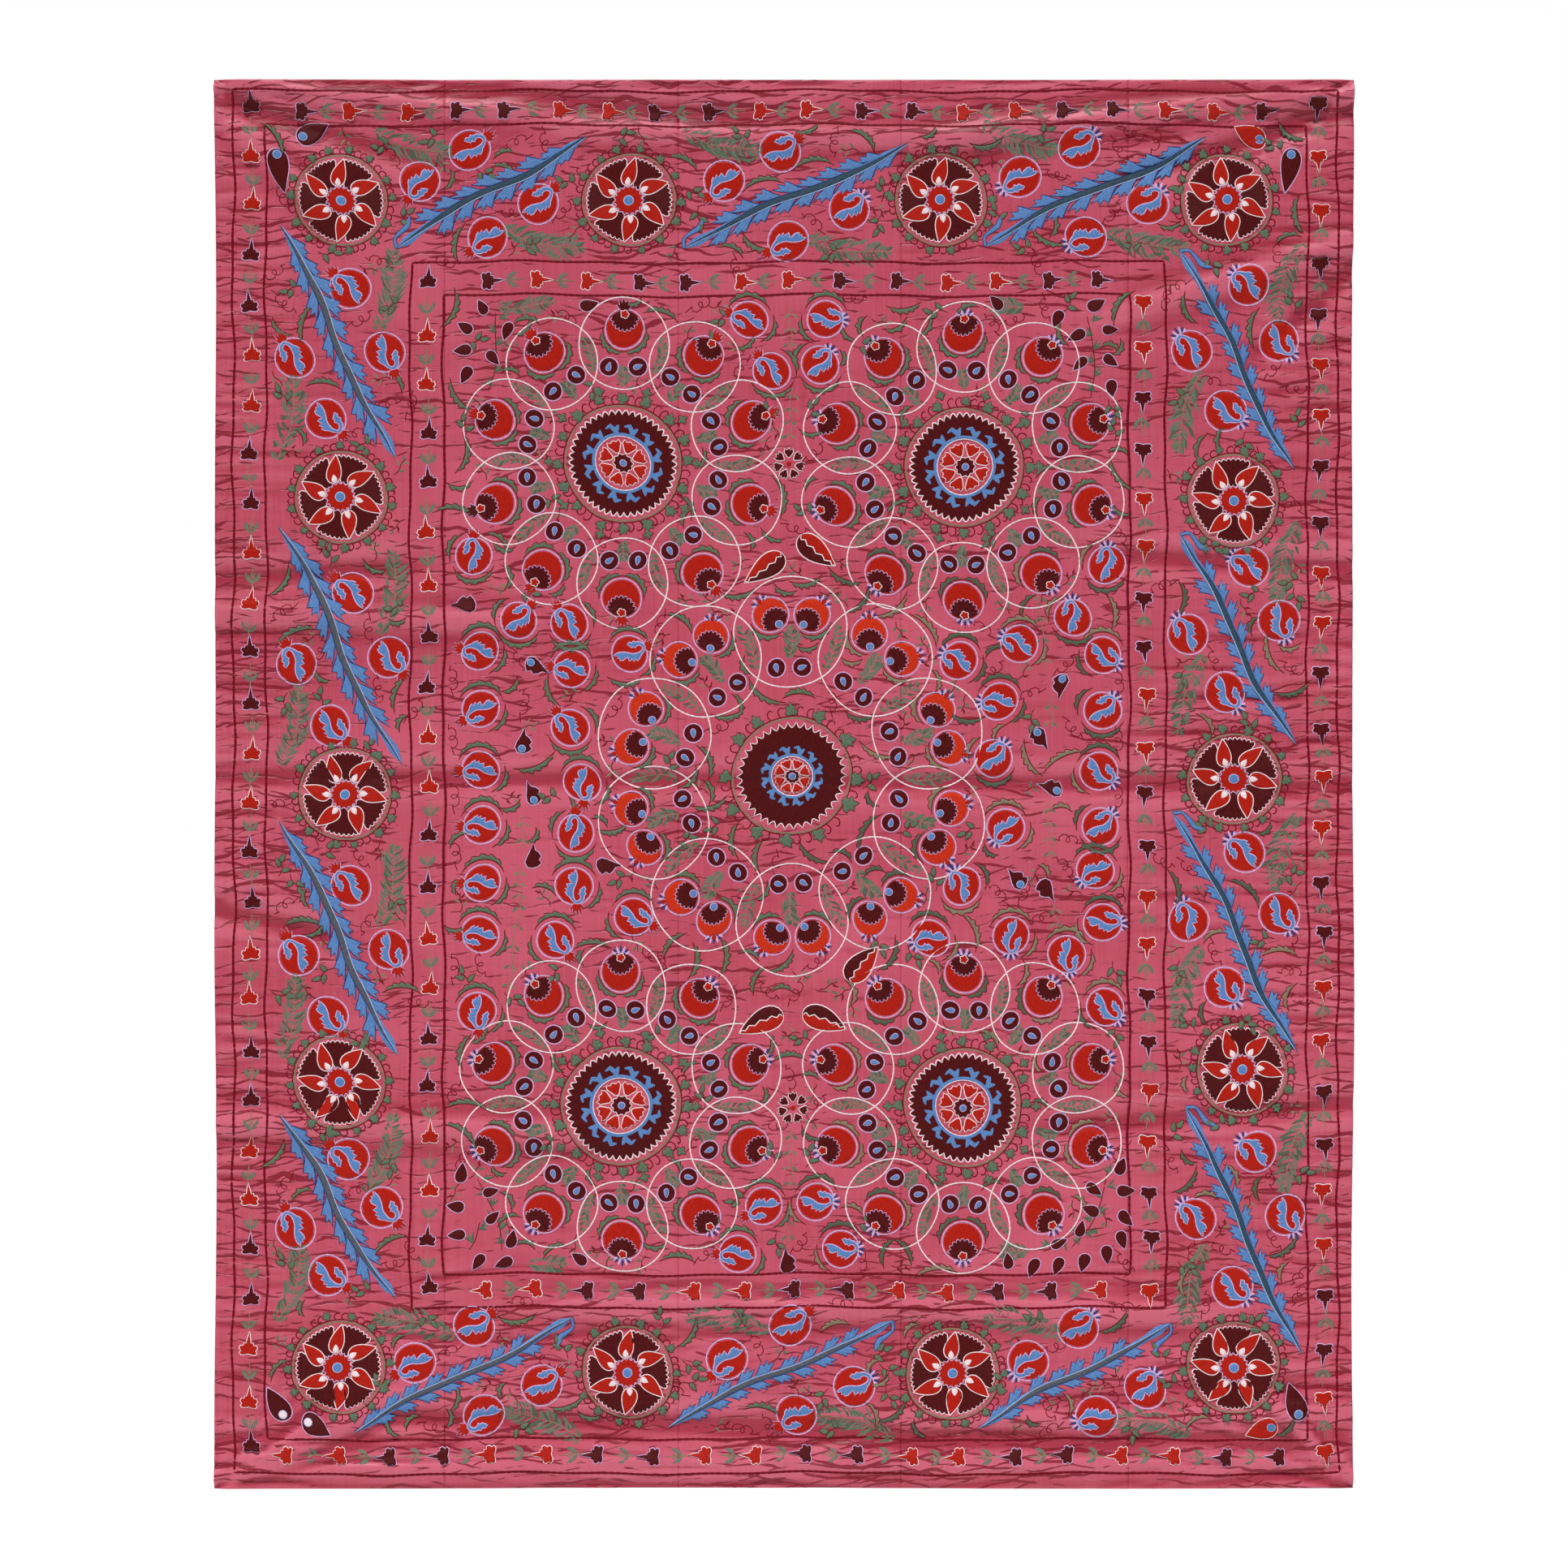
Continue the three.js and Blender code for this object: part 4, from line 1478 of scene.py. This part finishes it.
def silk_strip(node, columns, first, material):
    """One strip as a closed thin sheet, its edges turned to the back along seams and hems."""
    last = first + len(columns)
    x, z, height = NET_X[:, first:last], NET_Z[:, first:last], HEIGHT[:, first:last]
    rows, cols = x.shape
    from_side = np.minimum(x - columns[0], columns[-1] - x)
    from_end = np.minimum(-z, z + DROP)
    rolled = np.interp(np.minimum(from_side, from_end), EDGE_ROLL, EDGE_ROLL_DEPTH)
    turned = TURNING_THICKNESS * ((from_side < SEAM_ALLOWANCE) | (from_end < HEM_WIDTH))
    lowest = np.minimum(lowest_near(height, BACK_ROW_STEP), height - rolled + 0.2)
    front_y = -(height + SILK_THICKNESS / 2 - rolled)
    back_y = -(lowest - SILK_THICKNESS / 2) + turned
    kept = (from_end[:, 0] < HEM_WIDTH + 8) | (np.arange(rows) % BACK_ROW_STEP == 0)
    across = x + edge_wander(x, z)
    front = np.dstack([across, front_y, z]).reshape(-1, 3)
    back = np.dstack([across, back_y, z])[kept].reshape(-1, 3)
    upper = np.arange(rows * cols).reshape(rows, cols)
    under = np.arange(len(back)).reshape(-1, cols) + rows * cols
    marks = np.flatnonzero(kept)
    every = np.arange(cols)
    rims = (
        rim_faces(upper[0], under[0], every) + rim_faces(upper[-1, ::-1], under[-1, ::-1], every)
        + rim_faces(upper[:, -1], under[:, -1], marks)
        + rim_faces(upper[::-1, 0], under[::-1, 0], rows - 1 - marks[::-1])
    )
    faces = np.concatenate([grid_faces(upper), grid_faces(under)[:, ::-1], np.array(rims)])
    name = node.replace("strip", "silk")
    piece = mesh_piece(name, np.vstack([front, back]) * MM, faces, material)
    # The hollow depth goes to the silk material for its painted shade in hollows and painted highlight on
    # ridges
    hollow = HOLLOW[:, first:last]
    shares = {
        "hollow": np.concatenate([hollow.ravel(), -hollow[kept].ravel()]),
        "sharp": np.where(np.arange(len(front) + len(back)) < len(front), 1.0, BACK_CREASES),
    }
    for attribute, values in shares.items():
        layer = piece.data.attributes.new(attribute, "FLOAT", "POINT")
        layer.data.foreach_set("value", values.astype(np.float32))
    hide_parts(node)


def stitched_piece(colour, stitches):
    slot, dark, light = THREAD_COLOURS[colour]
    x, z = hand_wander(*np.vstack(stitches.places).T)
    pads = np.concatenate(stitches.pads)
    rest = height_at(x, z, HEIGHT) * (1 - pads) + height_at(x, z, PADDED) * pads
    y = -(rest + SILK_THICKNESS / 2 + np.concatenate(stitches.lifts))
    faces = np.vstack(stitches.faces)
    material = thread_material("floss_" + colour, dark, light)
    piece = mesh_piece("stitches_" + colour, np.column_stack([x, y, z]) * MM, faces, material)
    layer = piece.data.uv_layers.new(name="grain")
    corners = np.empty(len(piece.data.loops), np.int32)
    piece.data.loops.foreach_get("vertex_index", corners)
    layer.uv.foreach_set("vector", np.vstack(stitches.grain)[corners].astype(np.float32).ravel())


silk = silk_material()
start = 0
for node, columns in zip(STRIPS, STRIP_COLUMNS):
    silk_strip(node, columns, start, silk)
    start += len(columns)
for colour, stitches in THREADS.items():
    stitched_piece(colour, stitches)


# Floor, light and camera
FLOOR_BELOW_HEM = 1.2
FLOOR_SIZE = 14.0
FLOOR_DARK, FLOOR_LIGHT = (0.86, 0.86, 0.85, 1), (0.9, 0.9, 0.89, 1)
KEY_STRENGTH = 2.9
KEY_TURN = (27, 0, -18)
KEY_SOFTNESS = 6
ROOM_LIGHT = {"From Min": -0.25, "From Max": 0.7, "To Min": 0.17, "To Max": 1.0}  # from in front to behind
VIEW_WIDTH = 2.894
VIEW_DISTANCE = 8.0
SENSOR_WIDTH = 36.0


def floor():
    mesh = bpy.data.meshes.new("floor")
    z = -DROP * MM - FLOOR_BELOW_HEM
    corners = [(x * FLOOR_SIZE, y * FLOOR_SIZE, z) for x, y in ((-1, -1), (1, -1), (1, 1), (-1, 1))]
    mesh.from_pydata(corners, [], [(0, 1, 2, 3)])
    n = Nodes("floor")
    n.surface({
        "Base Color": n.mix(n.noise(n.object_place(), 0.8, 3.0), FLOOR_DARK, FLOOR_LIGHT),
        "Roughness": 0.9,
    })
    mesh.materials.append(n.material)
    obj = scene_object("floor", mesh)


def key_light():
    light = bpy.data.lights.new("key", "SUN")
    light.energy = KEY_STRENGTH
    light.angle = math.radians(KEY_SOFTNESS)
    scene_object("key", light).rotation_euler = [math.radians(v) for v in KEY_TURN]


def studio():
    """A bright room that is dimmer in front of the hanging."""
    world = bpy.data.worlds.new("studio")
    world.use_nodes = True
    tree = world.node_tree
    way = tree.nodes.new("ShaderNodeTexCoord")
    axes = tree.nodes.new("ShaderNodeSeparateXYZ")
    ramp = tree.nodes.new("ShaderNodeMapRange")
    for key, value in ROOM_LIGHT.items():
        ramp.inputs[key].default_value = value
    tree.links.new(way.outputs["Generated"], axes.inputs[0])
    tree.links.new(axes.outputs["Y"], ramp.inputs["Value"])
    tree.links.new(ramp.outputs["Result"], tree.nodes["Background"].inputs["Strength"])
    tree.nodes["Background"].inputs["Color"].default_value = (1.0, 1.0, 1.0, 1.0)
    bpy.context.scene.world = world
    bpy.context.scene.view_settings.view_transform = "Standard"


def camera():
    lens = bpy.data.cameras.new("camera")
    lens.sensor_width = SENSOR_WIDTH
    lens.lens = SENSOR_WIDTH * VIEW_DISTANCE / VIEW_WIDTH
    obj = scene_object("camera", lens)
    obj.location = (0.0, -VIEW_DISTANCE, -DROP * MM / 2)
    obj.rotation_euler = (math.radians(90), 0.0, 0.0)
    bpy.context.scene.camera = obj


floor()
key_light()
studio()
camera()

bpy.context.view_layer.update()
